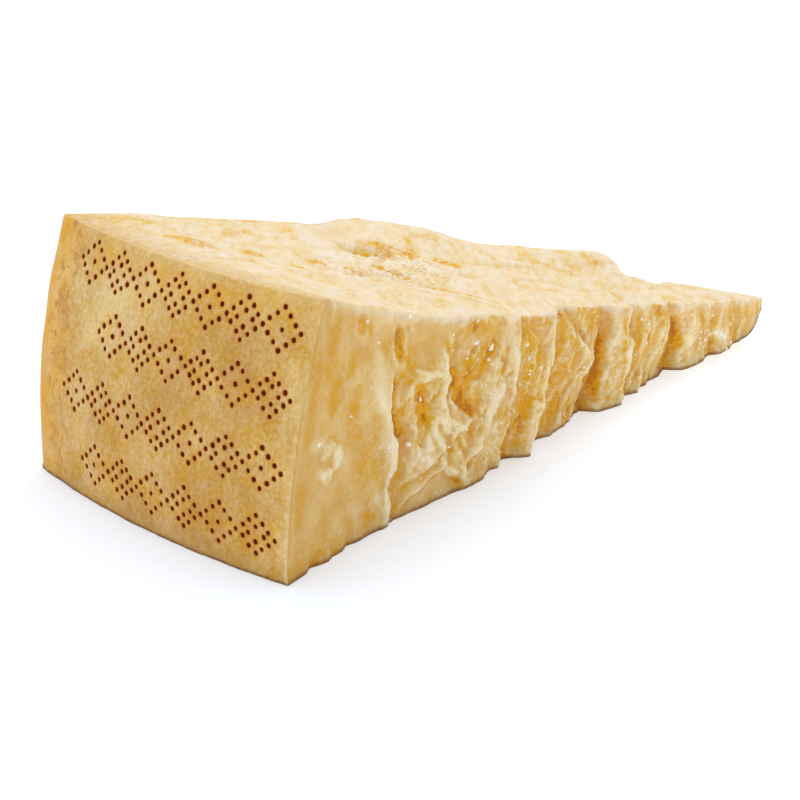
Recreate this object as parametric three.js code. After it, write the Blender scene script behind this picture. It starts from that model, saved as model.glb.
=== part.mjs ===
// Parmesan chunk: a wedge split off a drum of hard cheese, with its rind on the short curved face.
//
// Millimetres, +Z up. The rind faces -X, the broken point +X, and the chunk stands on its sawn
// underside. The origin is at the middle of the foot of the bounding box.
//
// The body is a box of grid lines bent into a tapering wedge: `f` runs from the rind (0) to the point
// (1), `t` from the right side (0, towards -Y) to the left side (1), and `k` from the underside (0) to
// the top (1). Relief then pushes the two split sides in and out and shapes the top. Relief on the
// sides is given at (s, h): s along the foot of the side from the rind corner, h above the table.

import * as THREE from 'three';

// ---- The drum and the wedge ----
const DRUM_RADIUS = 212;
const HALF_WIDTH = 41.1; // of the rind, straight across, at the foot
const HALF_ANGLE = Math.asin(HALF_WIDTH / DRUM_RADIUS);
const RIND_FOOT_X = -DRUM_RADIUS * Math.cos(HALF_ANGLE); // corner of the rind, seen from the drum's axis
const SIDE_LENGTH = 200; // along the foot of a side, rind corner to point
const POINT_X = -12;
const POINT_Y = -0.4;
const POINT_REACH = 201.5; // s of the very tip
const RIND_TOP_S = 8.4; // s of the top of the rind, which leans in
const RIND_HEIGHT = 57; // mean, for the barrel curve
const BARREL_SLOPE_FOOT = -0.057; // the rind leans out a little at the foot
const BARREL_SLOPE_TOP = 0.349; // and rounds over towards the top
const FLARE_RIGHT = 2.5; // each side stands out this much more at the top of the rind
const FLARE_LEFT = 2.8;
const POINT_HALF_WIDTH = 2.2; // added half width that rounds the point in plan
const POINT_ROUND_START = 176;

// ---- Grid ----
const ALONG = 90;
const ACROSS = 14;
const UP = 20;

// ---- Top surface: height of its two long edges over s ----
const NEAR_EDGE = [
  [8.4, 57.6], [19, 54], [32, 50.2], [45, 45.8], [55, 43.1], [68, 40.6], [89, 35.2], [94, 34.8],
  [106, 32.6], [126, 27.5], [142, 24], [170, 16.8], [190, 12.3], [201.5, 10],
];
const FAR_EDGE = [
  [8.4, 56.2], [24, 54.4], [65, 47.7], [71, 46.6], [78, 47.2], [89, 44.9], [99, 42.5], [112, 37.6],
  [122, 35.2], [149, 30], [152.5, 28.2], [154.5, 24.2], [163, 21.3], [169, 18.8], [172.5, 19.2],
  [190, 14.2], [201.5, 10],
];
// A raised layer lies along the left half of the top, between these two places
const LAYER_START = [52, 75];
const LAYER_END = [150, 156];
const LAYER_FOOT_T = 0.5; // where its slope starts, as a share of the width
const LAYER_SLOPE_T = 0.42;
const LAYER_FOOT_RISE = 0.5; // share of the cross rise that lies below the slope
// Torn hollows and cracks around the start of the layer, each a groove between two places given as
// s and the distance from the middle line
const TOP_TEARS = [
  { from: [77.6, 7], to: [68, 14.4], height: -1.8, before: 4, after: 1.2 },
  { from: [56.8, -4.8], to: [52, -0.8], height: -1, before: 2.4, after: 1.2 },
  { from: [64, -5], to: [60.8, 1.4], height: -1.3, before: 2.6, after: 1.2 },
  { from: [67, -10.4], to: [63.8, -3.6], height: -0.9, before: 2.2, after: 1.2 },
  { from: [87.4, -1], to: [85, 5], height: -1, before: 1.6, after: 1.2 },
  { from: [78, -21.6], to: [63.5, -11.2], height: -0.8, before: 1.6, after: 1 },
  { from: [36.6, -5], to: [34.6, 1.4], height: -0.5, before: 1.4, after: 1 },
];
const SPLIT_LEVELS = 5; // thin layers that the top broke along
const SPLIT_STEP = 0.35;
const TOP_CHIP_LENGTH = 20;
const TOP_CHIPS_ACROSS = 7;
const TOP_CHIP_RISE = 0.6;

// ---- Right side ----
// How far the top edge stands out from the straight side, over s
const TOP_BULGE = [
  [0, 0], [30, 0.3], [45, 1.1], [60, 2.1], [75, 2.3], [90, 2.3], [95, 0.7], [106, 0.4], [120, 0.8],
  [145, 0.2], [165, -0.3], [201, 0],
];
// How far the lower part of the side is drawn in
const SIDE_RECESS = [
  [0, 0], [12, 1.2], [26, 2.2], [38, 2.1], [50, 1.1], [58, 1.2], [70, 1.2], [83, 4], [91, 1.2],
  [96, 3.6], [107, 4.4], [121, 4.8], [127, 2.7], [135, 3], [155, 5.2], [166, 3], [176, 1.4],
  [188, 0.4], [201, 0],
];
// Notches in the foot line: s, depth, half length
const FOOT_NOTCHES = [[9.5, 0.9, 2.5], [14.5, -0.7, 2.5], [23, 0.7, 2.5], [38, 0.5, 4], [70, -0.6, 4]];
const FOOT_BAND = 5; // height over which the notches fade
const FOOT_CALM = 2.5; // height over which the finer relief begins
// The underside lifts off the table towards the point
const UNDERSIDE_LIFT = [[0, 0], [156, 0], [170, 1], [188, 2.1], [194, 2.8], [198, 4.4], [201.5, 6.6]];
// Smooth slab beside the rind, which ends in a curved ledge: s of the ledge over h
const SLAB_LEDGE = [
  [0, 39.6], [4.5, 37], [8, 35.6], [11, 35.4], [14, 35.8], [17, 36.4], [19.5, 36], [22, 34.4],
  [24.5, 32.6], [27, 31.8], [30, 32], [33, 32.6], [40, 31],
];
const SLAB_DROP = 2.4;
const SLAB_DROP_AT_FLOOR = 0.35; // share of the drop that is left at the floor
const SLAB_FOOT_HEIGHT = 8; // the drop is whole from this height
const SLAB_RECOVERY = 11;
const SLAB_LEDGE_FADE = [34, 42]; // the ledge dies out between these heights
// Hollows with a tilted floor, deepest towards (deepS, deepH)
const SCOOPS = [
  { s: 43, h: 39.5, halfS: 8, halfH: 8, depth: 0.9, deepS: 0.2, deepH: -0.5, calm: true }, // plate
  { s: 60.5, h: 29.5, halfS: 10.3, halfH: 13, depth: 2.3, deepS: -0.4, deepH: -0.4 }, // bowl
  { s: 45, h: 26, halfS: 4.5, halfH: 6.5, depth: 1.1, deepS: -0.2, deepH: 0.3 }, // under the plate
  { s: 33.5, h: 41.5, halfS: 1.6, halfH: 4.5, depth: 0.9, deepS: -0.4, deepH: 0 }, // beside the plate
  { s: 50, h: 0, halfS: 13, halfH: 9.4, depth: 0.9, deepS: -0.1, deepH: 1.4, calm: true }, // arch
  { s: 66, h: 6.5, halfS: 2.5, halfH: 3, depth: 1, deepS: -0.5, deepH: 0.3 }, // notch by the arch
  { s: 12, h: 25.5, halfS: 3, halfH: 2.2, depth: -0.4, deepS: -0.3, deepH: 0.4 }, // flakes on the slab
  { s: 15.5, h: 22.5, halfS: 2.2, halfH: 3.4, depth: -0.4, deepS: -0.3, deepH: 0.4 },
  { s: 12.5, h: 19.5, halfS: 2, halfH: 2, depth: -0.35, deepS: -0.3, deepH: 0.4 },
  { s: 21, h: 49.5, halfS: 1.8, halfH: 2.4, depth: 0.5, deepS: -0.3, deepH: 0.3 }, // below the top
  { s: 103, h: 9, halfS: 7, halfH: 8, depth: 1.1, deepS: 0.3, deepH: 0.4 }, // foot of the recess
];
// Ridges, and grooves where the height is negative, from a low end to a high end in (s, h). The
// flanks reach `before` towards the rind and `after` towards the point.
const RIDGES = [
  { from: [37, 1], to: [36, 20], height: 0.6, before: 7, after: 1 }, // crest of the slab
  { from: [33.8, 24], to: [20, 42], height: 0.8, before: 8, after: 6 },
  { from: [50.5, 30.4], to: [40, 34.2], height: 0.7, before: 3.5, after: 0.8 }, // lip of the plate
  { from: [62, 16.5], to: [50.8, 27.8], height: 0.9, before: 3.8, after: 1 }, // lip of the bowl
  { from: [64, 9], to: [72.5, 25], height: 1.5, before: 1.8, after: 5 }, // far side of the bowl
  { from: [80.5, -4], to: [73.5, 46], height: 1.3, before: 5, after: 2 },
  { from: [84.5, 5], to: [83, 25], height: 0.8, before: 2.5, after: 1.5 },
  { from: [88, 5], to: [87, 25], height: 0.8, before: 2.5, after: 1.5 },
  { from: [90, -4], to: [91, 42], height: 1.5, before: 4, after: 2 },
  { from: [97, -4], to: [96.5, 40], height: -1.5, before: 2.5, after: 6 },
  { from: [114, 16], to: [98, 31], height: 1.4, before: 6, after: 2 },
  { from: [123, -3], to: [119.5, 32], height: -3.2, before: 8, after: 2 },
  { from: [133, -3], to: [126, 32], height: 1.5, before: 5, after: 2 },
  { from: [136.5, -3], to: [130.5, 30], height: -2.2, before: 2, after: 4 },
  { from: [143, -3], to: [137, 28], height: 0.9, before: 3, after: 2.5 },
  { from: [149.5, -3], to: [145, 26], height: 0.8, before: 3, after: 2 },
  { from: [163, -3], to: [151, 24], height: -2.9, before: 5, after: 2 },
  { from: [168, -3], to: [157, 24], height: 0.9, before: 3, after: 5 },
  { from: [176, -3], to: [172, 20], height: -1.3, before: 4, after: 2.5 },
  { from: [187, -1], to: [183, 16], height: -1, before: 4, after: 2.5 },
];
// Thin slanting ribs between the bowl and the arch, from the first to the last
const RIBS = { count: 4, height: 0.8, before: 1.6, after: 4 };
const RIB_FIRST = { from: [49, 9], to: [40, 28] };
const RIB_LAST = { from: [66, 8], to: [55, 18] };
const CHIP_WIDTH = 7; // flat chips of random tilt all over the broken part of the side
const CHIP_HEIGHT = 15;
const CHIP_RISE = 0.9;

// ---- Left side: folds of the same kind, spaced by a rule ----
const LEFT_FOLD_PITCH = 10.5;
const LEFT_FOLD_HEIGHT = 1.7;
const LEFT_FOOT_RECESS = 2.4;
const LEFT_SCOOPS = [
  { s: 84, h: 17, halfS: 24, halfH: 20, depth: 2.6, deepS: 0.3, deepH: 0.4 },
  { s: 40, h: 34, halfS: 13, halfH: 12, depth: 1.8, deepS: -0.5, deepH: -0.3 },
  { s: 128, h: 14, halfS: 9, halfH: 12, depth: 1.5, deepS: -0.4, deepH: 0 },
];
const LEFT_CHIP_RISE = 1.3;

const UNEVEN = 0.35; // low unevenness of every split face
const WANDER = 0.9; // how far the relief strays from its drawn places
const RIND_UNEVEN = 0.15;

// ---- Small tools ----
const mix = THREE.MathUtils.lerp;
const step = (x, start, end) => THREE.MathUtils.smoothstep(x, start, end);

/** Height of a smooth curve through [x, y] points. */
function curve(points, x) {
  const last = points.length - 1;
  if (x <= points[0][0]) return points[0][1];
  if (x >= points[last][0]) return points[last][1];
  let i = 0;
  while (points[i + 1][0] < x) i += 1;
  const slope = (j) => {
    const a = points[Math.max(j - 1, 0)];
    const b = points[Math.min(j + 1, last)];
    return (b[1] - a[1]) / (b[0] - a[0]);
  };
  const [x0, y0] = points[i];
  const [x1, y1] = points[i + 1];
  const run = x1 - x0;
  const u = (x - x0) / run;
  const u2 = u * u;
  const u3 = u2 * u;
  return (2 * u3 - 3 * u2 + 1) * y0 + (u3 - 2 * u2 + u) * run * slope(i)
    + (3 * u2 - 2 * u3) * y1 + (u3 - u2) * run * slope(i + 1);
}

/** 1 in the middle of an ellipse, falling to 0 at its rim; a higher power gives steeper walls. */
function dish(du, dv, power = 3) {
  const r = Math.hypot(du, dv);
  return r < 1 ? 1 - r ** power : 0;
}

/** A hollow whose floor tilts, at (s, h). */
function scoop({ s: s0, h: h0, halfS, halfH, depth, deepS, deepH }, s, h) {
  const u = (s - s0) / halfS;
  const v = (h - h0) / halfH;
  return depth * (1 + deepS * u + deepH * v) * dish(u, v, 5);
}

/** A fold with straight flanks: 1 on its line, 0 at its two feet. */
function fold(offset, before, after) {
  const reach = offset < 0 ? before : after;
  return Math.max(0, 1 - Math.abs(offset) / reach);
}

/** A ridge with straight flanks along a line in (s, h), fading at both ends. */
function ridge({ from: [s0, h0], to: [s1, h1], height, before, after }, s, h) {
  const ds = s1 - s0;
  const dh = h1 - h0;
  const length = Math.hypot(ds, dh);
  const along = ((s - s0) * ds + (h - h0) * dh) / length ** 2;
  const across = ((s - s0) * dh - (h - h0) * ds) / length;
  const ends = step(along, -0.15, 0.15) * (1 - step(along, 0.85, 1.15));
  return height * ends * fold(across, before, after);
}

/** The slanting ribs, each a mix of the first and the last. */
function slantingRibs(s, h) {
  const between = (a, b, share) => [mix(a[0], b[0], share), mix(a[1], b[1], share)];
  let out = 0;
  for (let i = 0; i < RIBS.count; i += 1) {
    const share = i / (RIBS.count - 1);
    const from = between(RIB_FIRST.from, RIB_LAST.from, share);
    const to = between(RIB_FIRST.to, RIB_LAST.to, share);
    out = Math.max(out, ridge({ ...RIBS, from, to }, s, h));
  }
  return out;
}

/** Slow unevenness between about -1 and 1. */
function uneven(a, b, seed) {
  return 0.45 * Math.sin(0.31 * a + 1.7 * Math.sin(0.17 * b + seed))
    + 0.35 * Math.sin(0.47 * b - 0.19 * a + 2.3 * seed)
    + 0.3 * Math.sin(0.83 * a + 0.36 * b + 4.1 * seed);
}

/** A number from 0 to 1 that only depends on a cell and a seed. */
function random(i, j, seed) {
  const n = Math.sin(12.9898 * i + 78.233 * j + 37.719 * seed) * 43758.5453;
  return n - Math.floor(n);
}

/** Flat chips of random tilt and height, about one to each unit square, with short steps between. */
function chips(u, v, seed) {
  const sharpness = 26;
  let sum = 0;
  let total = 0;
  for (let i = Math.floor(u) - 1; i <= Math.floor(u) + 1; i += 1) {
    for (let j = Math.floor(v) - 1; j <= Math.floor(v) + 1; j += 1) {
      const du = u - i - 0.1 - 0.8 * random(i, j, seed);
      const dv = v - j - 0.1 - 0.8 * random(i, j, seed + 1);
      const weight = Math.exp(-sharpness * (du * du + dv * dv));
      const tilt = (random(i, j, seed + 2) - 0.5) * du + (random(i, j, seed + 3) - 0.5) * dv;
      sum += weight * (random(i, j, seed + 4) - 0.5 + 1.6 * tilt);
      total += weight;
    }
  }
  return sum / total;
}

/** A tooth that rises slowly over each period and drops at its end, -0.5 to 0.5. */
function tooth(x) {
  const u = x - Math.floor(x);
  const rise = 0.75;
  return u < rise ? u / rise - 0.5 : 0.5 - (u - rise) / (1 - rise);
}

// ---- Relief ----
/** Height of the top surface. */
function topHeight(s, t) {
  const layered = step(s, ...LAYER_START) * (1 - step(s, ...LAYER_END));
  const foot = LAYER_FOOT_RISE * Math.min(1, t / LAYER_FOOT_T);
  const slope = (1 - LAYER_FOOT_RISE) * step(t, LAYER_FOOT_T, LAYER_FOOT_T + LAYER_SLOPE_T);
  const share = mix(t, foot + slope, layered);
  let z = mix(curve(NEAR_EDGE, s), curve(FAR_EDGE, s), share);
  const y = (2 * t - 1) * (HALF_WIDTH + FLARE_RIGHT) * (1 - s / SIDE_LENGTH);
  const sw = s + WANDER * uneven(y, s, 11);
  const yw = y + WANDER * uneven(s, y, 12);
  for (const tear of TOP_TEARS) z += ridge(tear, sw, yw);
  const inner = Math.sin(Math.PI * t) * step(s, RIND_TOP_S, 24) * (1 - step(s, 165, 195));
  z += inner * SPLIT_STEP * tooth(SPLIT_LEVELS * t + 0.012 * s + 0.15 * uneven(s, 30 * t, 5));
  z += inner * TOP_CHIP_RISE * chips(s / TOP_CHIP_LENGTH, t * TOP_CHIPS_ACROSS, 20);
  return z;
}

/** How far the right side stands out at (s, h), under a top edge at height `top`. */
function rightRelief(s, h, top) {
  const k = h / top;
  const settled = step(h, -FOOT_CALM, FOOT_CALM);
  const sw = s + WANDER * settled * uneven(h, s, 6);
  const hw = h + WANDER * settled * uneven(s, h, 7);
  let out = mix(-curve(SIDE_RECESS, s), curve(TOP_BULGE, s), step(k, 0, 0.8));
  for (const [s0, depth, half] of FOOT_NOTCHES) {
    out -= depth * fold(s - s0, half, half) * (1 - step(h, 0, FOOT_BAND));
  }
  const ledge = sw - curve(SLAB_LEDGE, h);
  const whole = mix(SLAB_DROP_AT_FLOOR, 1, step(h, 0, SLAB_FOOT_HEIGHT));
  const ledgeReach = whole * settled * (1 - step(h, ...SLAB_LEDGE_FADE));
  out -= SLAB_DROP * step(ledge, 0, 1.5) * (1 - step(ledge, 1.5, SLAB_RECOVERY)) * ledgeReach;
  let broken = settled * step(s, 28, 42) * (1 - 0.6 * step(s, 150, 190));
  for (const hollow of SCOOPS) {
    out -= scoop(hollow, sw, hw);
    const { s: s0, h: h0, halfS, halfH, calm } = hollow;
    if (calm) broken *= 1 - dish((sw - s0) / halfS, (hw - h0) / halfH, 5);
  }
  for (const line of RIDGES) out += ridge(line, sw, hw);
  out += settled * slantingRibs(sw, hw);
  out += CHIP_RISE * broken * chips(sw / CHIP_WIDTH, hw / CHIP_HEIGHT, 10);
  return out + UNEVEN * step(s, 4, 20) * uneven(s, h, 1);
}

/** How far the left side stands out. */
function leftRelief(s, h, top) {
  const k = h / top;
  const sw = s + WANDER * uneven(h, s, 8);
  const hw = h + WANDER * uneven(s, h, 9);
  let out = -LEFT_FOOT_RECESS * (1 - step(k, 0, 0.5)) * step(s, 2, 20);
  for (const hollow of LEFT_SCOOPS) out -= scoop(hollow, sw, hw);
  const count = Math.floor(SIDE_LENGTH / LEFT_FOLD_PITCH);
  for (let i = 2; i < count; i += 1) {
    const stray = Math.sin(7.3 * i);
    const line = (i + 0.3 * stray) * LEFT_FOLD_PITCH + (0.12 + 0.1 * stray) * (top - h);
    const height = LEFT_FOLD_HEIGHT * (0.7 + 0.5 * Math.sin(3.1 * i)) * (i % 2 === 0 ? 1 : -1);
    out += height * (1 - 0.5 * step(k, 0.6, 1)) * fold(sw - line, 6 + 2 * stray, 4 - stray);
  }
  out += LEFT_CHIP_RISE * step(s, 6, 30) * chips(sw / CHIP_WIDTH, hw / CHIP_HEIGHT, 30);
  return out * (1 - 0.6 * step(s, 150, 195)) + UNEVEN * step(s, 4, 20) * uneven(s, h, 3);
}

// ---- Body ----
const SIDE_COS = (POINT_X - RIND_FOOT_X) / Math.hypot(POINT_X - RIND_FOOT_X, HALF_WIDTH);
const SIDE_SIN = Math.sqrt(1 - SIDE_COS ** 2);

/** A point of the chunk's skin, seen from the drum's axis. */
function skinPoint(f, t, k) {
  const topS = mix(RIND_TOP_S, POINT_REACH, f);
  const top = topHeight(topS, t);
  const footS = mix(0, POINT_REACH, f);
  const lift = curve(UNDERSIDE_LIFT, footS);
  const h = mix(lift, top, k);

  const angle = mix(-HALF_ANGLE, HALF_ANGLE, t);
  const lean = BARREL_SLOPE_FOOT * h
    + (BARREL_SLOPE_TOP - BARREL_SLOPE_FOOT) * h * h / (2 * RIND_HEIGHT);
  const radius = DRUM_RADIUS - lean + RIND_UNEVEN * uneven(400 * angle, h, 4);
  const flare = k * mix(-FLARE_RIGHT, FLARE_LEFT, t);
  const tipX = RIND_FOOT_X + POINT_REACH * SIDE_COS;
  const x = mix(-radius * Math.cos(angle), tipX, f);
  const s = (x - RIND_FOOT_X) / SIDE_COS;

  // The point is rounded in plan: it widens a little, then closes in a quarter ellipse
  const widen = POINT_HALF_WIDTH * step(s, POINT_ROUND_START - 40, POINT_ROUND_START + 10);
  const close = Math.sqrt(Math.max(0, 1 - step(f, 0.93, 1) ** 2));
  const spread = (2 * t - 1) * widen * close;
  const taper = Math.min(1, f * POINT_REACH / SIDE_LENGTH);
  const straight = mix(radius * Math.sin(angle) + flare, POINT_Y, taper);
  let y = f === 1 ? POINT_Y : straight + spread;

  // Relief of the sides dies out towards the middle of the chunk and at the very tip
  const atPoint = 1 - step(f, 0.94, 1);
  const right = rightRelief(s, h, top) * Math.max(0, 1 - t / 0.6) ** 2 * atPoint;
  const left = leftRelief(s, h, top) * Math.max(0, (t - 0.4) / 0.6) ** 2 * atPoint;
  y += (left - right) * SIDE_COS;
  return new THREE.Vector3(x + (left + right) * SIDE_SIN, y, h);
}

/** The closed skin: rind, two sides, top and underside, sharing the points along their edges. */
function chunkGeometry() {
  const positions = [];
  const indices = [];
  const known = new Map();

  const vertex = (i, j, k) => {
    const column = i === ALONG ? 0 : j; // all grid lines meet in one upright edge at the point
    const key = `${i},${column},${k}`;
    if (!known.has(key)) {
      known.set(key, positions.length / 3);
      positions.push(...skinPoint(i / ALONG, column / ACROSS, k / UP));
    }
    return known.get(key);
  };
  const triangle = (a, b, c) => {
    if (a !== b && b !== c && c !== a) indices.push(a, b, c);
  };
  const quad = (a, b, c, d) => {
    triangle(a, b, c);
    triangle(a, c, d);
  };

  for (let i = 0; i < ALONG; i += 1) {
    for (let k = 0; k < UP; k += 1) {
      quad(vertex(i, 0, k), vertex(i + 1, 0, k), vertex(i + 1, 0, k + 1), vertex(i, 0, k + 1));
      quad(vertex(i, ACROSS, k), vertex(i, ACROSS, k + 1), vertex(i + 1, ACROSS, k + 1),
        vertex(i + 1, ACROSS, k));
    }
    for (let j = 0; j < ACROSS; j += 1) {
      quad(vertex(i, j, UP), vertex(i + 1, j, UP), vertex(i + 1, j + 1, UP), vertex(i, j + 1, UP));
    }
  }
  for (let j = 0; j < ACROSS; j += 1) {
    for (let k = 0; k < UP; k += 1) {
      quad(vertex(0, j, k), vertex(0, j, k + 1), vertex(0, j + 1, k + 1), vertex(0, j + 1, k));
    }
  }
  // Underside: a fan behind the rind's arc, then one rung after another to the point
  for (let j = 0; j < ACROSS; j += 1) {
    triangle(vertex(1, 0, 0), vertex(0, j, 0), vertex(0, j + 1, 0));
  }
  triangle(vertex(1, 0, 0), vertex(0, ACROSS, 0), vertex(1, ACROSS, 0));
  for (let i = 1; i < ALONG; i += 1) {
    quad(vertex(i, 0, 0), vertex(i, ACROSS, 0), vertex(i + 1, ACROSS, 0), vertex(i + 1, 0, 0));
  }

  const geometry = new THREE.BufferGeometry();
  geometry.setAttribute('position', new THREE.Float32BufferAttribute(positions, 3));
  geometry.setIndex(indices);
  geometry.computeBoundingBox();
  const { min, max } = geometry.boundingBox;
  geometry.translate(-(min.x + max.x) / 2, -(min.y + max.y) / 2, -min.z);
  geometry.computeVertexNormals();
  return geometry;
}

const paste = new THREE.MeshStandardMaterial({ color: 0xe2c383, roughness: 0.62, metalness: 0 });
const chunk = new THREE.Mesh(chunkGeometry(), paste);
chunk.name = 'cheese_wedge';

const model = new THREE.Group();
model.name = 'parmesan_chunk';
model.add(chunk);

export default model;
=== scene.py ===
"""Dresses a wedge of hard cheese, split off its drum, on a pale studio floor.

The wedge is sculpted from a finely divided box that is bent into the taper of the CAD solid, with
the same relief and a finer grain on top. The rind is pricked with a dotted ornament. White
crystals and crumbs lie on the split faces. Lengths are in millimetres, and a mesh becomes metres
when it is finished. `s` runs along the foot of a split side from the rind to the point, `h` is the
height above the floor, and `t` crosses the wedge from its right side (0) to its left side (1).
"""

from __future__ import annotations

import logging
import math
from dataclasses import dataclass, field
from enum import Enum, IntEnum
from typing import Iterator, Sequence

import bmesh
import bpy
import numpy as np
from mathutils import Matrix, Vector
from mathutils.bvhtree import BVHTree


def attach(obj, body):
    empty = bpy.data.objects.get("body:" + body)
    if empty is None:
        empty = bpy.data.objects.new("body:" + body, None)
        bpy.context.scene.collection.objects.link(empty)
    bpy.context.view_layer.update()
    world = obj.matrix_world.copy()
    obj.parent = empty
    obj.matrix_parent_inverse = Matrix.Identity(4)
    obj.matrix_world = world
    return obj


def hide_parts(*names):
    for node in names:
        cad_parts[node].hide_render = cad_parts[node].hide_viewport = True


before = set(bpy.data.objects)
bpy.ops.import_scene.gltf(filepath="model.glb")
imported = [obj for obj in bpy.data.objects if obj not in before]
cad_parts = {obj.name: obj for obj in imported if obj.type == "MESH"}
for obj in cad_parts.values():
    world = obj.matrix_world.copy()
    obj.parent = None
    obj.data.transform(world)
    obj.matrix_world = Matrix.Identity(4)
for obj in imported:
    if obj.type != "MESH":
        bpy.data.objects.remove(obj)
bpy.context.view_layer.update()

log = logging.getLogger("cheese")

NODE = "cheese_wedge"
BODY = "root"
MM = 0.001
TINY = 1e-6  # numbers closer than this are taken as the same
WANDER = 0.9  # how far the relief strays from its drawn places
GRID = ("grid_f", "grid_t", "grid_k")  # where a vertex lay in the box that was bent

Array = np.ndarray
Pair = tuple[float, float]
Triple = tuple[float, float, float]
Colour = Triple
Points = Sequence[Pair]
Hit = tuple[Vector, Vector]  # a place on the skin and its outward normal
Spot = tuple[Hit | None, float]  # where a lump sits, if the skin is there, and its half size
Mesh = bmesh.types.BMesh
Socket = bpy.types.NodeSocket
Feed = Socket | float | Colour  # what a socket can be given


class Face(Enum):
    """The two split sides."""

    RIGHT = "right"
    LEFT = "left"


class Zone(IntEnum):
    """The zones of the wedge's skin, in the order of its material slots."""

    PASTE = 0
    RIND = 1
    SAWN = 2


# ---- Small tools of the sculptor ----
def step(x: Array, start: float, end: float) -> Array:
    """Rises smoothly from 0 at `start` to 1 at `end`."""
    u = np.clip((x - start) / (end - start), 0.0, 1.0)
    return u * u * (3.0 - 2.0 * u)


def mix(a: Array, b: Array, share: Array) -> Array:
    """Goes straight from `a` to `b` as `share` goes from 0 to 1."""
    return a + (b - a) * share


def between(x: Array, rise: Pair, fall: Pair) -> Array:
    """Rises smoothly from 0 to 1 over one range and falls back to 0 over a later one."""
    return step(x, *rise) * (1.0 - step(x, *fall))


def curve(points: Points, x: Array) -> Array:
    """Follows a smooth curve through points.

    Args:
        points: Places and heights, in rising order of place.
        x: Where the curve is read.

    Returns:
        Its height there, level beyond both ends.
    """
    px, py = np.array(points, dtype=float).T
    before = np.maximum(np.arange(len(px)) - 1, 0)
    after = np.minimum(np.arange(len(px)) + 1, len(px) - 1)
    slope = (py[after] - py[before]) / (px[after] - px[before])
    inside = np.clip(x, px[0], px[-1])
    i = np.clip(np.searchsorted(px, inside, side="left") - 1, 0, len(px) - 2)
    run = px[i + 1] - px[i]
    u = (inside - px[i]) / run
    rise = (3.0 - 2.0 * u) * u * u
    bend = run * u * (1.0 - u)
    return mix(py[i], py[i + 1], rise) + bend * (slope[i] * (1.0 - u) - slope[i + 1] * u)


def dish(du: Array, dv: Array) -> Array:
    """Is 1 in the middle of a unit circle and falls to 0 in a steep wall at its rim."""
    return 1.0 - np.minimum(np.hypot(du, dv), 1.0) ** 5.0


def fold(offset: Array, before: float, after: float) -> Array:
    """Is 1 on a line and falls straight to 0 at its two feet."""
    return np.maximum(0.0, 1.0 - np.abs(offset) / np.where(offset < 0.0, before, after))


def uneven(a: Array, b: Array, seed: float) -> Array:
    """Wanders slowly between about -1 and 1, in three waves that bend each other."""
    return (
        0.45 * np.sin(0.31 * a + 1.7 * np.sin(0.17 * b + seed))
        + 0.35 * np.sin(0.47 * b - 0.19 * a + 2.3 * seed)
        + 0.3 * np.sin(0.83 * a + 0.36 * b + 4.1 * seed)
    )


def chance(i: Array, j: Array, seed: float) -> Array:
    """Gives a number from 0 to 1 that only depends on a cell and a seed, by the usual hash."""
    n = np.sin(12.9898 * i + 78.233 * j + 37.719 * seed) * 43758.5453
    return n - np.floor(n)


def chips(u: Array, v: Array, seed: float, sharpness: float = 26.0) -> Array:
    """Breaks a face into flat chips, about one to each unit square.

    Args:
        u: Place along the face, in chip lengths.
        v: Place across it, in chip heights.
        seed: Picks the layout of the chips.
        sharpness: The higher, the steeper the steps between chips.

    Returns:
        Height between about -1 and 1, with short steps between chips of random tilt.
    """
    margin, tilt_share = 0.1, 1.6
    stray = 1.0 - 2.0 * margin
    total = np.zeros_like(u)
    weights = np.zeros_like(u)
    for di in (-1, 0, 1):
        for dj in (-1, 0, 1):
            i = np.floor(u) + di
            j = np.floor(v) + dj
            du = u - i - margin - stray * chance(i, j, seed)
            dv = v - j - margin - stray * chance(i, j, seed + 1)
            weight = np.exp(-sharpness * (du * du + dv * dv))
            tilt = (chance(i, j, seed + 2) - 0.5) * du + (chance(i, j, seed + 3) - 0.5) * dv
            total += weight * (chance(i, j, seed + 4) - 0.5 + tilt_share * tilt)
            weights += weight
    return total / np.maximum(weights, 1e-12)


def tooth(x: Array, rise: float = 0.75) -> Array:
    """Rises slowly over a share of each period and then drops, between -0.5 and 0.5."""
    u = x - np.floor(x)
    return np.where(u < rise, u / rise - 0.5, 0.5 - (u - rise) / (1.0 - rise))


@dataclass(frozen=True)
class Scoop:
    """A hollow with a tilted floor; a calm one carries no chips."""

    s: float
    h: float
    half_s: float
    half_h: float
    depth: float
    deep_s: float = 0.0
    deep_h: float = 0.0
    calm: bool = False

    def at(self, s: Array, h: Array) -> Array:
        """Gives the hollow's depth at (s, h)."""
        u, v = (s - self.s) / self.half_s, (h - self.h) / self.half_h
        return self.depth * (1.0 + self.deep_s * u + self.deep_h * v) * dish(u, v)

    def cover(self, s: Array, h: Array) -> Array:
        """Is 1 inside the hollow and 0 outside."""
        return dish((s - self.s) / self.half_s, (h - self.h) / self.half_h)


@dataclass(frozen=True)
class Line:
    """A line on a face, from one place to another."""

    start: Pair
    end: Pair

    def measure(self, a: Array, b: Array) -> tuple[Array, Array]:
        """Measures places by the line.

        Args:
            a: First coordinates of the places.
            b: Second coordinates.

        Returns:
            How far along the line they are, from 0 at its start to 1 at its end, and how far off.
        """
        (a0, b0), (a1, b1) = self.start, self.end
        length = math.hypot(a1 - a0, b1 - b0)
        along = ((a - a0) * (a1 - a0) + (b - b0) * (b1 - b0)) / length**2
        across = ((a - a0) * (b1 - b0) - (b - b0) * (a1 - a0)) / length
        return along, across


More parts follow.
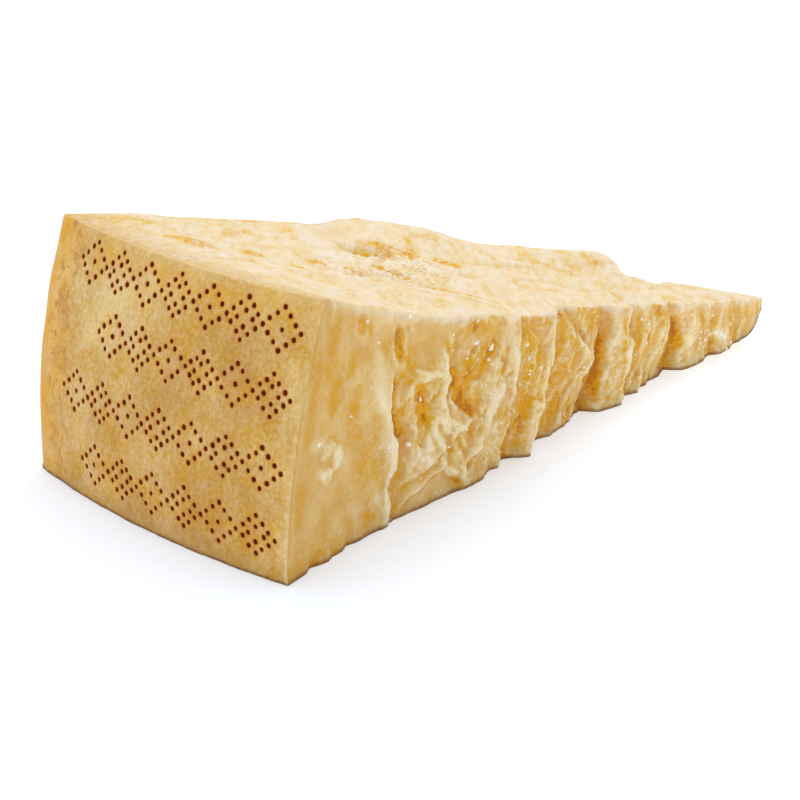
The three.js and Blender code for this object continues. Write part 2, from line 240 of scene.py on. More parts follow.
@dataclass(frozen=True)
class Ridge(Line):
    """A ridge, or a groove of negative height, with straight flanks along a line."""

    height: float
    before: float
    after: float
    fade_in: Pair = (-0.15, 0.15)  # in shares of the line
    fade_out: Pair = (0.85, 1.15)

    def at(self, a: Array, b: Array) -> Array:
        """Gives the ridge's height, fading at both ends.

        Args:
            a: First coordinates of the places.
            b: Second coordinates.

        Returns:
            The height there.
        """
        along, across = self.measure(a, b)
        ends = between(along, self.fade_in, self.fade_out)
        return self.height * ends * fold(across, self.before, self.after)


def ridge_row(first: Ridge, last: Ridge, count: int) -> list[Ridge]:
    """Spreads ridges evenly between two.

    Args:
        first: The first ridge.
        last: The last one; only its line is used.
        count: How many there are in all.

    Returns:
        The ridges, each with the first one's section.
    """
    row = []
    for i in range(count):
        share = i / (count - 1)
        start = tuple(mix(a, b, share) for a, b in zip(first.start, last.start))
        end = tuple(mix(a, b, share) for a, b in zip(first.end, last.end))
        row.append(Ridge(start, end, first.height, first.before, first.after))
    return row


@dataclass(frozen=True)
class Stroke(Line):
    """A streak of deeper colour along a line, or of paler colour if its strength is negative."""

    width: float
    strength: float

    def at(self, a: Array, b: Array) -> Array:
        """Gives the streak's strength, fading away from its line.

        Args:
            a: First coordinates of the places.
            b: Second coordinates.

        Returns:
            The strength there.
        """
        along = np.clip(self.measure(a, b)[0], 0.0, 1.0)
        near_a, near_b = (mix(p, q, along) for p, q in zip(self.start, self.end))
        return self.strength * np.exp(-((np.hypot(a - near_a, b - near_b) / self.width) ** 2))


def streaked(strokes: Sequence[Stroke], a: Array, b: Array) -> Array:
    """Lays streaks over each other, between -1 and 1."""
    return np.clip(sum(stroke.at(a, b) for stroke in strokes), -1.0, 1.0)


@dataclass(frozen=True)
class SplitGrain:
    """The chips of a split side, and the flakes and the coarse grain on them."""

    chip_rise: float
    flake_rise: float
    grain_rise: float
    chip_seed: float
    fine_seed: float
    chip_size: Pair = (7, 15)
    flake_size: Pair = (3.3, 5.4)
    flake_sharpness: float = 60.0
    grain_size: Pair = (1.6, 2.2)
    grain_sharpness: float = 40.0
    grain_shift: float = 0.4  # how far the flakes push the grain on them

    def coarse(self, s: Array, h: Array, broken: Array) -> Array:
        """Gives the height of the chips, where the side is broken."""
        length, height = self.chip_size
        return self.chip_rise * broken * chips(s / length, h / height, self.chip_seed)

    def fine(self, s: Array, h: Array) -> Array:
        """Gives the height of flakes and grain.

        Args:
            s: Place along the side.
            h: Height on it.

        Returns:
            Height of both together.
        """
        length, height = self.flake_size
        flakes = chips(s / length, h / height, self.fine_seed, self.flake_sharpness)
        length, height = self.grain_size
        shifted = s / length + self.grain_shift * flakes
        grain = chips(shifted, h / height, self.fine_seed + 5, self.grain_sharpness)
        return self.flake_rise * flakes + self.grain_rise * grain


# ---- The wedge ----
@dataclass
class TopFace:
    """The upper face, which broke along thin layers and carries a raised one on its left."""

    near_edge: Points = (
        (8.4, 57.6), (19, 54), (32, 50.2), (45, 45.8), (55, 43.1), (68, 40.6), (89, 35.2),
        (94, 34.8), (106, 32.6), (126, 27.5), (142, 24), (170, 17.4), (190, 13.3), (201.5, 10.6),
    )
    far_edge: Points = (
        (8.4, 56.2), (24, 54.4), (65, 47.7), (71, 46.6), (78, 47.2), (89, 44.9), (99, 42.5),
        (112, 37.6), (122, 35.2), (149, 30), (152.5, 28.2), (154.5, 24.2), (163, 21.3),
        (169, 18.6), (172.5, 18.7), (190, 13.7), (201.5, 10.6),
    )
    layer_start: Pair = (52, 75)
    layer_end: Pair = (150, 156)
    layer_foot_t: float = 0.5
    layer_slope_t: float = 0.42
    layer_foot_rise: float = 0.5
    tears: tuple[Ridge, ...] = (  # s and distance from the middle line
        Ridge((77.6, 7), (68, 14.4), -1.8, 4, 1.2),
        Ridge((56.8, -4.8), (52, -0.8), -1, 2.4, 1.2),
        Ridge((64, -5), (60.8, 1.4), -1.3, 2.6, 1.2),
        Ridge((67, -10.4), (63.8, -3.6), -0.9, 2.2, 1.2),
        Ridge((87.4, -1), (85, 5), -1, 1.6, 1.2),
        Ridge((78, -21.6), (63.5, -11.2), -0.8, 1.6, 1),
        Ridge((36.6, -5), (34.6, 1.4), -0.5, 1.4, 1),
    )
    streaks: tuple[Stroke, ...] = (
        Stroke((69, 13), (72.4, 10.2), 1.5, 0.9),  # slot beside the torn patch
        Stroke((72.4, 10.2), (76.4, 6.8), 1.5, 1),
        Stroke((82.6, 12), (79, 5.6), 2.2, 0.5),
        Stroke((52.6, -1.4), (54.6, -4), 1.5, 1),  # pits of the torn patch
        Stroke((62.3, 0.6), (64.4, -2.8), 1.8, 1),
        Stroke((63.6, -6), (65.6, -10), 1.3, 0.8),
        Stroke((84.3, 4), (86.6, 0.6), 1.5, 1),
        Stroke((74.2, -5.9), (78, -7.2), 1.9, 0.5),
        Stroke((64.4, -11.7), (69, -15.3), 0.8, 0.9),  # crack from the patch to the edge
        Stroke((69, -15.3), (77, -21.4), 0.8, 0.9),
        Stroke((31.4, 7.4), (32.4, 6.2), 1.9, 0.75),
        Stroke((36.6, -0.4), (37.6, -2), 1.2, 1),
        Stroke((46.8, 3.2), (48, 2), 1.6, 0.7),
        Stroke((20.2, 18.2), (21.6, 16.4), 2, 0.9),
        Stroke((22.8, 14.2), (23.4, 12.6), 1.6, 0.8),
        Stroke((24, 11), (24.3, 8.2), 1.6, 0.6),
        Stroke((37, 22), (42.8, 22.8), 2.2, 0.6),
        Stroke((28, 35.9), (37.8, 33.6), 0.8, 0.9),  # brown lines along the far edge
        Stroke((43, 32.6), (52, 30.8), 0.8, 0.8),
        Stroke((60, 29.2), (64, 28.4), 0.8, 0.8),
        Stroke((68, 27.6), (84, 24.2), 0.8, 0.8),
        Stroke((12, 36), (24, 28), 5, 0.4),  # golden place beside the rim
        Stroke((15.8, 21), (21.6, 11.4), 0.5, 0.6),  # fine crack along the rim
        Stroke((105.5, 10.9), (106.8, 5.4), 1.6, 0.35),
        Stroke((122, 6.6), (127.7, 0.3), 1.6, 0.4),
        Stroke((92, -8), (104, -12), 0.9, 0.3),
        Stroke((134, 10), (143, 6), 1.6, 0.4),
        Stroke((88, 14), (96, 12), 2.4, 0.35),
        Stroke((56, 8), (60, 4), 3.2, -0.7),  # pale places
        Stroke((71, 3), (76, -2), 2.6, -0.8),
        Stroke((46, -4), (50, 2), 2.4, -0.5),
        Stroke((30, 2), (33, -1), 1.4, -0.8),
    )
    crumbly: Scoop = Scoop(69, 0, 21, 13, 1.0)  # the torn patch
    rough_start: Pair = (8.4, 24)
    rough_end: Pair = (165, 195)
    split_levels: float = 5
    split_step: float = 0.35
    split_dip: float = 0.012
    split_stray: float = 0.15
    chip_length: float = 20
    chips_across: float = 7
    chip_rise: float = 0.6
    streak_size: Pair = (6, 3.6)
    streak_rise: float = 0.08
    crumb_size: Pair = (2.4, 2)
    crumb_rise: float = 0.8
    fine_crumb_share: float = 0.6

    def height(self, s: Array, t: Array, half_width: float, length: float) -> Array:
        """Gives the height of the upper face.

        Args:
            s: Place along the wedge.
            t: Place across it.
            half_width: Of the wedge at the rind.
            length: Of a side.

        Returns:
            Height above the floor.
        """
        layered = between(s, self.layer_start, self.layer_end)
        foot = self.layer_foot_rise * np.minimum(1.0, t / self.layer_foot_t)
        brow = self.layer_foot_t + self.layer_slope_t
        slope = (1.0 - self.layer_foot_rise) * step(t, self.layer_foot_t, brow)
        share = mix(t, foot + slope, layered)
        z = mix(curve(self.near_edge, s), curve(self.far_edge, s), share)
        y = (2.0 * t - 1.0) * half_width * (1.0 - s / length)
        sw = s + WANDER * uneven(y, s, 11)
        yw = y + WANDER * uneven(s, y, 12)
        for tear in self.tears:
            z += tear.at(sw, yw)
        inner = np.sin(np.pi * t) * between(s, self.rough_start, self.rough_end)
        stray = self.split_stray * uneven(s, 30 * t, 5)
        z += inner * self.split_step * tooth(self.split_levels * t + self.split_dip * s + stray)
        z += inner * self.chip_rise * chips(s / self.chip_length, t * self.chips_across, 20)
        long, wide = self.streak_size
        z += np.sqrt(inner) * self.streak_rise * chips(s / long, yw / wide, 60)
        long, wide = self.crumb_size
        crumbs = chips(sw / long, yw / wide, 61) + self.fine_crumb_share * chips(sw, yw, 62)
        z += self.crumbly.cover(sw, yw) * np.sqrt(inner) * self.crumb_rise * crumbs
        return z


@dataclass
class RightSide:
    """The split side that shows a slab, a bowl, ribs and upright folds."""

    bulge: Points = (
        (0, 0), (30, 0.3), (45, 1.1), (60, 2.1), (75, 2.3), (90, 2.3), (95, 0.7), (106, 0.4),
        (120, 0.8), (145, 0.2), (165, -0.3), (201, 0),
    )
    recess: Points = (
        (0, 0), (12, 1.2), (26, 2.2), (38, 2.1), (50, 1.1), (58, 1.2), (70, 1.2), (83, 4),
        (91, 1.2), (96, 3.6), (107, 4.4), (121, 4.8), (127, 2.7), (135, 3), (155, 5.2), (166, 3),
        (176, 1.4), (188, 0.4), (201, 0),
    )
    bulge_top: float = 0.8  # share of the height where the bulge is fully out
    foot_notches: tuple[Triple, ...] = (  # s, depth and half width
        (9.5, 0.9, 2.5), (14.5, -0.7, 2.5), (23, 0.7, 2.5), (38, 0.5, 4), (70, -0.6, 4),
    )
    foot_band: float = 5
    foot_calm: float = 2.5
    ledge: Points = (
        (0, 39.6), (4.5, 37), (8, 35.6), (11, 35.4), (14, 35.8), (17, 36.4), (19.5, 36), (22, 34.4),
        (24.5, 32.6), (27, 31.8), (30, 32), (33, 32.6), (40, 31),
    )
    ledge_drop: float = 2.4
    ledge_foot: float = 0.35  # share of the drop that is left at the floor
    ledge_foot_height: float = 8
    ledge_width: float = 1.2
    ledge_recovery: float = 11
    ledge_fade: Pair = (30, 38)
    scoops: tuple[Scoop, ...] = (
        Scoop(43, 39.5, 8, 8, 0.9, 0.2, -0.5, calm=True),  # smooth plate
        Scoop(60.5, 29.5, 10.3, 13, 2.3, -0.4, -0.4),  # bowl
        Scoop(45, 26, 4.5, 6.5, 1.1, -0.2, 0.3),  # under the plate
        Scoop(33.5, 41.5, 1.6, 4.5, 0.6, -0.4, 0),  # beside the plate
        Scoop(50, 0, 13, 9.4, 0.9, -0.1, 1.4, calm=True),  # arch at the foot
        Scoop(66, 6.5, 2.5, 3, 1, -0.5, 0.3),  # notch by the arch
        Scoop(12, 25.5, 3, 2.2, -0.4, -0.3, 0.4),  # flakes stuck on the slab
        Scoop(15.5, 22.5, 2.2, 3.4, -0.4, -0.3, 0.4),
        Scoop(12.5, 19.5, 2, 2, -0.35, -0.3, 0.4),
        Scoop(21, 49.5, 1.8, 2.4, 0.5, -0.3, 0.3),  # nick below the top
        Scoop(103, 9, 7, 8, 1.1, 0.3, 0.4),  # foot of the recess
    )
    ridges: tuple[Ridge, ...] = (
        Ridge((37, 1), (36, 20), 0.6, 7, 1),  # crest of the slab
        Ridge((33.8, 24), (20, 42), 0.8, 8, 6),
        Ridge((50.5, 30.4), (40, 34.2), 0.7, 3.5, 0.8),  # lip of the plate
        Ridge((62, 16.5), (50.8, 27.8), 0.9, 3.8, 1),  # lip of the bowl
        Ridge((43, 3), (55.5, 8), 0.9, 2.6, 0.7),  # lip of the arch
        Ridge((56.5, 7.8), (61.5, 3.2), 0.9, 2, 0.7),
        Ridge((64, 9), (72.5, 25), 1.5, 1.8, 5),  # far side of the bowl
        Ridge((80.5, -4), (73.5, 46), 1.3, 5, 2),
        Ridge((84.5, 5), (83, 25), 0.8, 2.5, 1.5),
        Ridge((88, 5), (87, 25), 0.8, 2.5, 1.5),
        Ridge((90, -4), (91, 42), 1.5, 4, 2),
        Ridge((97, -4), (96.5, 40), -1.5, 2.5, 6),
        Ridge((114, 16), (98, 31), 1.4, 6, 2),
        Ridge((123, -3), (119.5, 32), -3.2, 8, 2),
        Ridge((133, -3), (126, 32), 1.5, 5, 2),
        Ridge((136.5, -3), (130.5, 30), -2.2, 2, 4),
        Ridge((143, -3), (137, 28), 0.9, 3, 2.5),
        Ridge((149.5, -3), (145, 26), 0.8, 3, 2),
        Ridge((163, -3), (151, 24), -2.9, 5, 2),
        Ridge((168, -3), (157, 24), 0.9, 3, 5),
        Ridge((176, -3), (172, 20), -1.3, 4, 2.5),
        Ridge((187, -1), (183, 16), -1, 4, 2.5),
    )
    streaks: tuple[Stroke, ...] = (
        Stroke((20.2, 50.4), (20.6, 48.4), 1.2, 0.45),  # pits of the slab
        Stroke((23, 48.4), (23.4, 47), 1, 0.4),
        Stroke((12, 52), (10.4, 42), 1.9, 0.5),
        Stroke((6.4, 46), (5, 30), 1.8, 0.4),
        Stroke((17.4, 43), (17.6, 40), 1.3, 0.4),
        Stroke((19.6, 36), (20, 31), 1.4, 0.45),
        Stroke((12.5, 38), (12.6, 33), 1.3, 0.5),
        Stroke((26, 22), (25, 13), 2.5, 0.15),
        Stroke((2.5, 20), (3, 12), 1.6, 0.4),
        Stroke((7, 27.6), (9.6, 27), 1.5, -0.8),  # flakes stuck on the slab
        Stroke((14.4, 23.8), (16, 21.4), 1.6, -0.7),
        Stroke((9.6, 20.6), (10.8, 20.2), 1.3, -0.85),
        Stroke((26, 47), (29, 30), 2.4, -0.45),  # pale breast of the slab
        Stroke((33, 33), (34, 22), 0.8, -0.35),
        Stroke((34.4, 20), (36.8, 4), 1.2, -0.5),
        Stroke((31, 8), (36, 5), 2, -0.4),
        Stroke((33, 43.8), (34.6, 39.6), 0.9, 0.8),  # beside and under the plate
        Stroke((34.8, 39.2), (38, 36.2), 0.8, 0.5),
        Stroke((36, 47), (47, 46), 2.2, 0.3),
        Stroke((38.5, 41), (46.5, 37.5), 3.4, 0.08),
        Stroke((39.6, 33.2), (43.4, 27.4), 1.9, 0.3),
        Stroke((43.6, 27.4), (46.2, 21.6), 1.1, 0.7),
        Stroke((41, 34.2), (48.4, 32), 0.5, -0.25),
        Stroke((34.6, 32), (34.8, 25), 0.8, 0.7),
        Stroke((35.2, 24), (39.2, 19.4), 0.9, 0.7),
        Stroke((51.2, 37), (52.4, 30), 0.8, 0.8),  # in the bowl
        Stroke((55.4, 28.6), (58.4, 24.1), 1.6, 1),
        Stroke((58.4, 24.1), (63, 18.6), 1.3, 0.9),
        Stroke((60.4, 30.6), (61.4, 27), 1.4, 0.6),
        Stroke((67.6, 33.4), (65.6, 28), 1.3, 0.8),
        Stroke((57, 39.8), (68.4, 39.4), 2.2, 0.7),
        Stroke((62.6, 37), (66, 36.4), 1.4, 0.5),
        Stroke((66.8, 15), (71.4, 22.6), 0.9, -0.6),
        Stroke((72, 40), (79.6, 14.4), 1.1, -0.5),
        Stroke((78.4, 36.2), (88.2, 34), 1.9, 0.9),  # under the top edge
        Stroke((79, 33), (83.6, 30), 1.5, 0.6),
        Stroke((83, 24), (84, 8), 0.9, 0.5),
        Stroke((60, 4.4), (61.4, 3), 1.1, 0.4),
        Stroke((42, 3), (57, 3.4), 3.4, -0.3),  # arch, ribs and column; the arch is painted paler as light against its shade
        Stroke((46, 15), (60, 12), 4.5, -0.3),
        Stroke((69, 22), (74.5, 4), 2.8, -0.6),
        Stroke((84, 26), (86, 6), 5, 0.2),  # recess
        Stroke((104, 24), (112, 8), 6, 0.08),
        Stroke((2, 1), (16, 1), 5, 0.4),  # painted shade at the foot of the slab
        Stroke((173.4, 8.2), (178.6, 6.4), 1.5, -0.9),  # pale place near the point
        Stroke((98.6, 31.4), (99.4, 22), 1.1, 0.7),
        Stroke((104, 9), (105.4, 6), 1.7, 0.6),
        Stroke((105, 31.6), (117, 27.4), 1.9, 0.9),
        Stroke((109, 28), (118.6, 18.4), 1.5, 0.7),
        Stroke((119.8, 20), (123.2, 3), 0.7, 0.9),
        Stroke((125.6, 26), (126.9, 16), 0.9, 0.9),
        Stroke((127.6, 14), (131, 4), 0.8, 0.6),
        Stroke((135, 22), (138, 8), 0.8, 0.4),
        Stroke((142.3, 23.4), (148, 18.4), 1.9, 0.8),
        Stroke((154.5, 15.8), (159.8, 7.6), 0.9, 0.9),
        Stroke((165.7, 16), (168.3, 9.5), 1.5, 0.5),
        Stroke((180.2, 13), (182.4, 6.6), 1.1, 0.8),
        Stroke((189, 12), (191, 7), 1, 0.5),
        Stroke((196, 10.6), (197.6, 6), 1.3, 0.7),
        Stroke((160.8, 10), (163, 8), 0.9, -0.6),
        Stroke((113, 20), (122, 30), 1.2, -0.5),
    )
    first_rib: Ridge = Ridge((49, 9), (40, 28), 0.8, 1.6, 4)
    last_rib: Ridge = Ridge((66, 8), (55, 18), 0.8, 1.6, 4)
    rib_count: int = 4
    grain: SplitGrain = SplitGrain(0.9, 0.5, 0.25, 10, 70)
    slab_grain: float = 0.15
    slab_start: Pair = (2, 8)
    slab_end: Pair = (24, 34)
    broken_start: Pair = (28, 42)
    broken_end: Pair = (150, 190)
    calmer_at_point: float = 0.6

    def calmness(self, s: Array, h: Array) -> Array:
        """Is 1 where the side is smooth and even, and 0 where it is broken."""
        slab = 1.0 - step(s, *self.slab_end)
        return np.maximum.reduce([slab] + [c.cover(s, h) for c in self.scoops if c.calm])

    def ledge_cut(self, s: Array, h: Array, settled: Array) -> Array:
        """Gives how far the side drops back past the slab's ledge.

        Args:
            s: Place along the side.
            h: Height above the floor.
            settled: Is 0 just above the floor and 1 higher up.

        Returns:
            Distance into the side, which is made up again further on.
        """
        past = s - curve(self.ledge, h)
        reach = mix(self.ledge_foot, 1.0, step(h, 0, self.ledge_foot_height))
        reach = reach * settled * (1.0 - step(h, *self.ledge_fade))
        recovered = 1.0 - step(past, self.ledge_width, self.ledge_recovery)
        return self.ledge_drop * step(past, 0, self.ledge_width) * recovered * reach

    def stand_out(self, s: Array, h: Array, top: Array) -> Array:
        """Gives how far the side stands out.

        Args:
            s: Place along the side.
            h: Height above the floor.
            top: Height of the side's top edge.

        Returns:
            Distance out of the straight side.
        """
        settled = step(h, -self.foot_calm, self.foot_calm)
        sw = s + WANDER * settled * uneven(h, s, 6)
        hw = h + WANDER * settled * uneven(s, h, 7)
        lean = step(h / top, 0, self.bulge_top)
        out = mix(-curve(self.recess, s), curve(self.bulge, s), lean)
        for place, depth, half in self.foot_notches:
            out -= depth * fold(s - place, half, half) * (1.0 - step(h, 0, self.foot_band))
        out -= self.ledge_cut(sw, h, settled)
        slab = self.slab_grain * settled * step(s, *self.slab_start)
        calmer = 1.0 - self.calmer_at_point * step(s, *self.broken_end)
        broken = settled * step(s, *self.broken_start) * calmer
        for scoop in self.scoops:
            out -= scoop.at(sw, hw)
            if scoop.calm:
                broken = broken * (1.0 - scoop.cover(sw, hw))
            if scoop.depth < 0.0:
                slab = np.maximum(slab, scoop.cover(sw, hw))
        for ridge in self.ridges:
            out += ridge.at(sw, hw)
        ribs = [rib.at(sw, hw) for rib in ridge_row(self.first_rib, self.last_rib, self.rib_count)]
        out += settled * np.maximum.reduce(ribs)
        out += self.grain.coarse(sw, hw, broken)
        return out + np.maximum(broken, slab) * self.grain.fine(sw, hw)


@dataclass
class LeftSide:
    """The other split side, with folds of the same kind spaced by a rule."""

    side_length: float = 200
    foot_recess: float = 2.4
    recess_top: float = 0.5
    recess_start: Pair = (2, 20)
    scoops: tuple[Scoop, ...] = (
        Scoop(84, 17, 24, 20, 2.6, 0.3, 0.4),
        Scoop(40, 34, 13, 12, 1.8, -0.5, -0.3),
        Scoop(128, 14, 9, 12, 1.5, -0.4, 0),
    )
    fold_pitch: float = 10.5
    fold_stray: float = 0.3
    fold_lean: Pair = (0.12, 0.1)  # usual, and how much it strays
    fold_height: float = 1.7
    fold_sizes: Pair = (0.7, 0.5)
    fold_flanks: Pair = (6, 4)
    fold_fade: Pair = (0.6, 1)
    grain: SplitGrain = SplitGrain(1.3, 0.6, 0.3, 30, 80)
    broken_start: Pair = (6, 30)
    calmer_at_point: float = 0.6
    point_start: Pair = (150, 195)

    def folds(self, s: Array, h: Array, top: Array) -> Iterator[Array]:
        """Gives the upright folds one by one, ridges and grooves in turn.

        Args:
            s: Place along the side.
            h: Height above the floor.
            top: Height of the side's top edge.

        Yields:
            Height of one fold.
        """
        fade = 1.0 - 0.5 * step(h / top, *self.fold_fade)
        for i in range(2, int(self.side_length // self.fold_pitch)):
            stray = math.sin(7.3 * i)
            lean = self.fold_lean[0] + self.fold_lean[1] * stray
            line = (i + self.fold_stray * stray) * self.fold_pitch + lean * (top - h)
            size = self.fold_sizes[0] + self.fold_sizes[1] * math.sin(3.1 * i)
            height = self.fold_height * size * (1 if i % 2 == 0 else -1)
            before, after = self.fold_flanks
            yield height * fade * fold(s - line, before + 2.0 * stray, after - stray)

    def stand_out(self, s: Array, h: Array, top: Array) -> Array:
        """Gives how far the side stands out.

        Args:
            s: Place along the side.
            h: Height above the floor.
            top: Height of the side's top edge.

        Returns:
            Distance out of the straight side.
        """
        sw = s + WANDER * uneven(h, s, 8)
        hw = h + WANDER * uneven(s, h, 9)
        low = 1.0 - step(h / top, 0, self.recess_top)
        out = -self.foot_recess * low * step(s, *self.recess_start)
        for scoop in self.scoops:
            out -= scoop.at(sw, hw)
        for height in self.folds(sw, h, top):
            out += height
        broken = step(s, *self.broken_start)
        out += self.grain.coarse(sw, hw, broken)
        out += broken * self.grain.fine(sw, hw)
        return out * (1.0 - self.calmer_at_point * step(s, *self.point_start))


@dataclass
class Wedge:
    """The whole wedge: its drum, taper, faces and rind."""

    drum_radius: float = 212
    half_width: float = 41.1
    side_length: float = 200
    point: Pair = (-12, -0.4)
    point_reach: float = 201.5
    rind_top_s: float = 8.4
    rind_height: float = 57
    barrel_foot: float = -0.057
    barrel_top: float = 0.349
    flare_right: float = 2.5
    flare_left: float = 2.8
    point_widening: float = 2.2
    widening_span: Pair = (136, 186)
    closing_start: float = 0.93  # shares of the way to the point
    point_calm: float = 0.94
    side_share: float = 0.6  # of the width, that moves with a side
    side_uneven: float = 0.35
    side_uneven_start: Pair = (4, 20)
    underside_lift: Points = (
        (0, 0), (156, 0), (170, 1), (188, 2.2), (194, 3.3), (198, 5.2), (201.5, 7.4),
    )
    rind_uneven: float = 0.15
    rind_wave: float = 400  # the higher, the shorter the rind's waves
    rind_streaks: tuple[Stroke, ...] = (  # arc towards the right side, and height
        Stroke((20, 46), (27, 36), 7, 0.8),
        Stroke((10, 31), (4, 30), 6, 0.6),
        Stroke((18, 16), (26, 8), 7, 0.5),
        Stroke((-13, 45), (-17, 38), 6, -1),
        Stroke((-20, 22), (-24, 14), 4, -0.5),
        Stroke((38, 44), (38.5, 10), 1.8, -0.5),
        Stroke((-36.5, 50), (-37.5, 4), 3, -0.6),
        Stroke((-33, 42), (-33, 36), 2, 0.9),
        Stroke((-33, 30), (-33.6, 26), 2, 0.7),
    )
    cuts: tuple[int, int, int] = (300, 60, 80)  # along, across and up
    top_face: TopFace = field(default_factory=TopFace)
    right: RightSide = field(default_factory=RightSide)
    left: LeftSide = field(default_factory=LeftSide)
    merge_reach: float = 0.001
    corner_passes: int = 3
    corner_reach: float = 0.8
    corner_foot: float = 0.02
    corner_end: float = 0.98
    short_edge: float = 4  # longer ones, across the underside, carry no smoothing
    near_smoothing: int = 5
    far_smoothing: int = 140
    near_weight: float = 2.8
    far_weight: float = 0.5

    def __post_init__(self) -> None:
        """Works out the angles and the place of the drum's axis."""
        self.half_angle = math.asin(self.half_width / self.drum_radius)
        self.rind_foot_x = -self.drum_radius * math.cos(self.half_angle)
        run = self.point[0] - self.rind_foot_x
        self.side_cos = run / math.hypot(run, self.half_width)
        self.side_sin = math.sqrt(1.0 - self.side_cos**2)
        self.tip_x = self.rind_foot_x + self.point_reach * self.side_cos
        tip = max((v.co for v in bpy.data.objects[NODE].data.vertices), key=lambda co: co.x)
        self.axis = Vector((tip.x / MM - self.tip_x, tip.y / MM - self.point[1], 0.0))

    def drum_radius_at(self, h: Array) -> Array:
        """Gives the drum's radius at a height, which swells and rounds like a barrel."""
        bend = (self.barrel_top - self.barrel_foot) * h * h / (2.0 * self.rind_height)
        return self.drum_radius - self.barrel_foot * h - bend

    def skin(self, f: Array, t: Array, k: Array) -> Array:
        """Bends a box into the wedge.

        Args:
            f: From the rind (0) to the point (1).
            t: From the right side (0) to the left side (1).
            k: From the underside (0) to the top (1).

        Returns:
            Places in millimetres, one row each.
        """
        t = np.where(f > 1.0 - TINY, 0.0, t)
        top_s = mix(self.rind_top_s, self.point_reach, f)
        half = self.half_width + self.flare_right
        top = self.top_face.height(top_s, t, half, self.side_length)
        h = mix(curve(self.underside_lift, f * self.point_reach), top, k)
        angle = mix(-self.half_angle, self.half_angle, t)
        radius = self.drum_radius_at(h) + self.rind_uneven * uneven(self.rind_wave * angle, h, 4)
        flare = k * mix(-self.flare_right, self.flare_left, t)
        x = mix(-radius * np.cos(angle), self.tip_x, f)
        s = (x - self.rind_foot_x) / self.side_cos
        widen = self.point_widening * step(s, *self.widening_span)
        close = np.sqrt(np.maximum(0.0, 1.0 - step(f, self.closing_start, 1) ** 2))
        taper = np.minimum(1.0, f * self.point_reach / self.side_length)
        y = mix(radius * np.sin(angle) + flare, self.point[1], taper)
        y = np.where(f > 1.0 - TINY, self.point[1], y + (2.0 * t - 1.0) * widen * close)
        at_point = 1.0 - step(f, self.point_calm, 1)
        sunk = self.side_uneven * step(s, *self.side_uneven_start)
        right = self.right.stand_out(s, h, top) + sunk * uneven(s, h, 1)
        left = self.left.stand_out(s, h, top) + sunk * uneven(s, h, 3)
        share = self.side_share
        right = right * np.maximum(0.0, 1.0 - t / share) ** 2 * at_point
        left = left * np.maximum(0.0, (t - (1.0 - share)) / share) ** 2 * at_point
        y = y + (left - right) * self.side_cos
        x = x + (left + right) * self.side_sin
        return np.stack([x + self.axis.x, y + self.axis.y, h], axis=1)

    def body(self) -> tuple[Mesh, Array]:
        """Makes the divided box and bends it.

        Returns:
            The mesh in millimetres, and its vertices' (f, t, k).
        """
        bm = bmesh.new()
        bmesh.ops.create_cube(bm, size=1.0)
        for axis, count in enumerate(self.cuts):
            along = [e for e in bm.edges if abs(e.verts[0].co[axis] - e.verts[1].co[axis]) > 0.5]
            bmesh.ops.subdivide_edges(bm, edges=along, cuts=count - 1, use_grid_fill=True)
        bmesh.ops.translate(bm, verts=bm.verts, vec=(0.5, 0.5, 0.5))
        # The underside is sawn flat, so it needs only its rungs from side to side
        lengthwise = [
            e for e in bm.edges
            if max(v.co.z for v in e.verts) < TINY
            and abs(e.verts[0].co.y - e.verts[1].co.y) < TINY
            and TINY < e.verts[0].co.y < 1.0 - TINY
        ]
        bmesh.ops.dissolve_edges(bm, edges=lengthwise, use_verts=True)
        for face in bm.faces:
            far_x, far_z = (max(v.co[axis] for v in face.verts) for axis in (0, 2))
            face.material_index = Zone.RIND if far_x < TINY else Zone.PASTE
            if far_z < TINY:
                face.material_index = Zone.SAWN
        grid = np.array([v.co for v in bm.verts])
        marks = bm.verts.layers.float_vector.new("grid")
        for vert, mark, place in zip(bm.verts, grid, self.skin(*grid.T)):
            vert[marks] = mark
            vert.co = place
        bmesh.ops.remove_doubles(bm, verts=bm.verts, dist=self.merge_reach)
        grid = np.array([v[marks] for v in bm.verts])
        bm.verts.layers.float_vector.remove(marks)
        self.soften(bm, grid)
        bmesh.ops.recalc_face_normals(bm, faces=bm.faces)
        return bm, grid

    def soften(self, bm: Mesh, grid: Array) -> None:
        """Rounds the corners between faces.

        Args:
            bm: The bent mesh.
            grid: Its vertices' (f, t, k).
        """
        f, t, k = grid.T
        side = np.minimum(t, 1.0 - t) * self.half_width * 2.0 * (1.0 - f)
        under_top = (1.0 - k) * self.rind_height
        behind_rind = f * self.side_length
        nearest = np.sort(np.stack([side, under_top, behind_rind]), axis=0)
        kept = (k > self.corner_foot) & (f < self.corner_end)
        edge = [v for v, on in zip(bm.verts, (nearest[1] < self.corner_reach) & kept) if on]
        for _ in range(self.corner_passes):
            bmesh.ops.smooth_vert(
                bm, verts=edge, factor=0.5, use_axis_x=True, use_axis_y=True, use_axis_z=True
            )

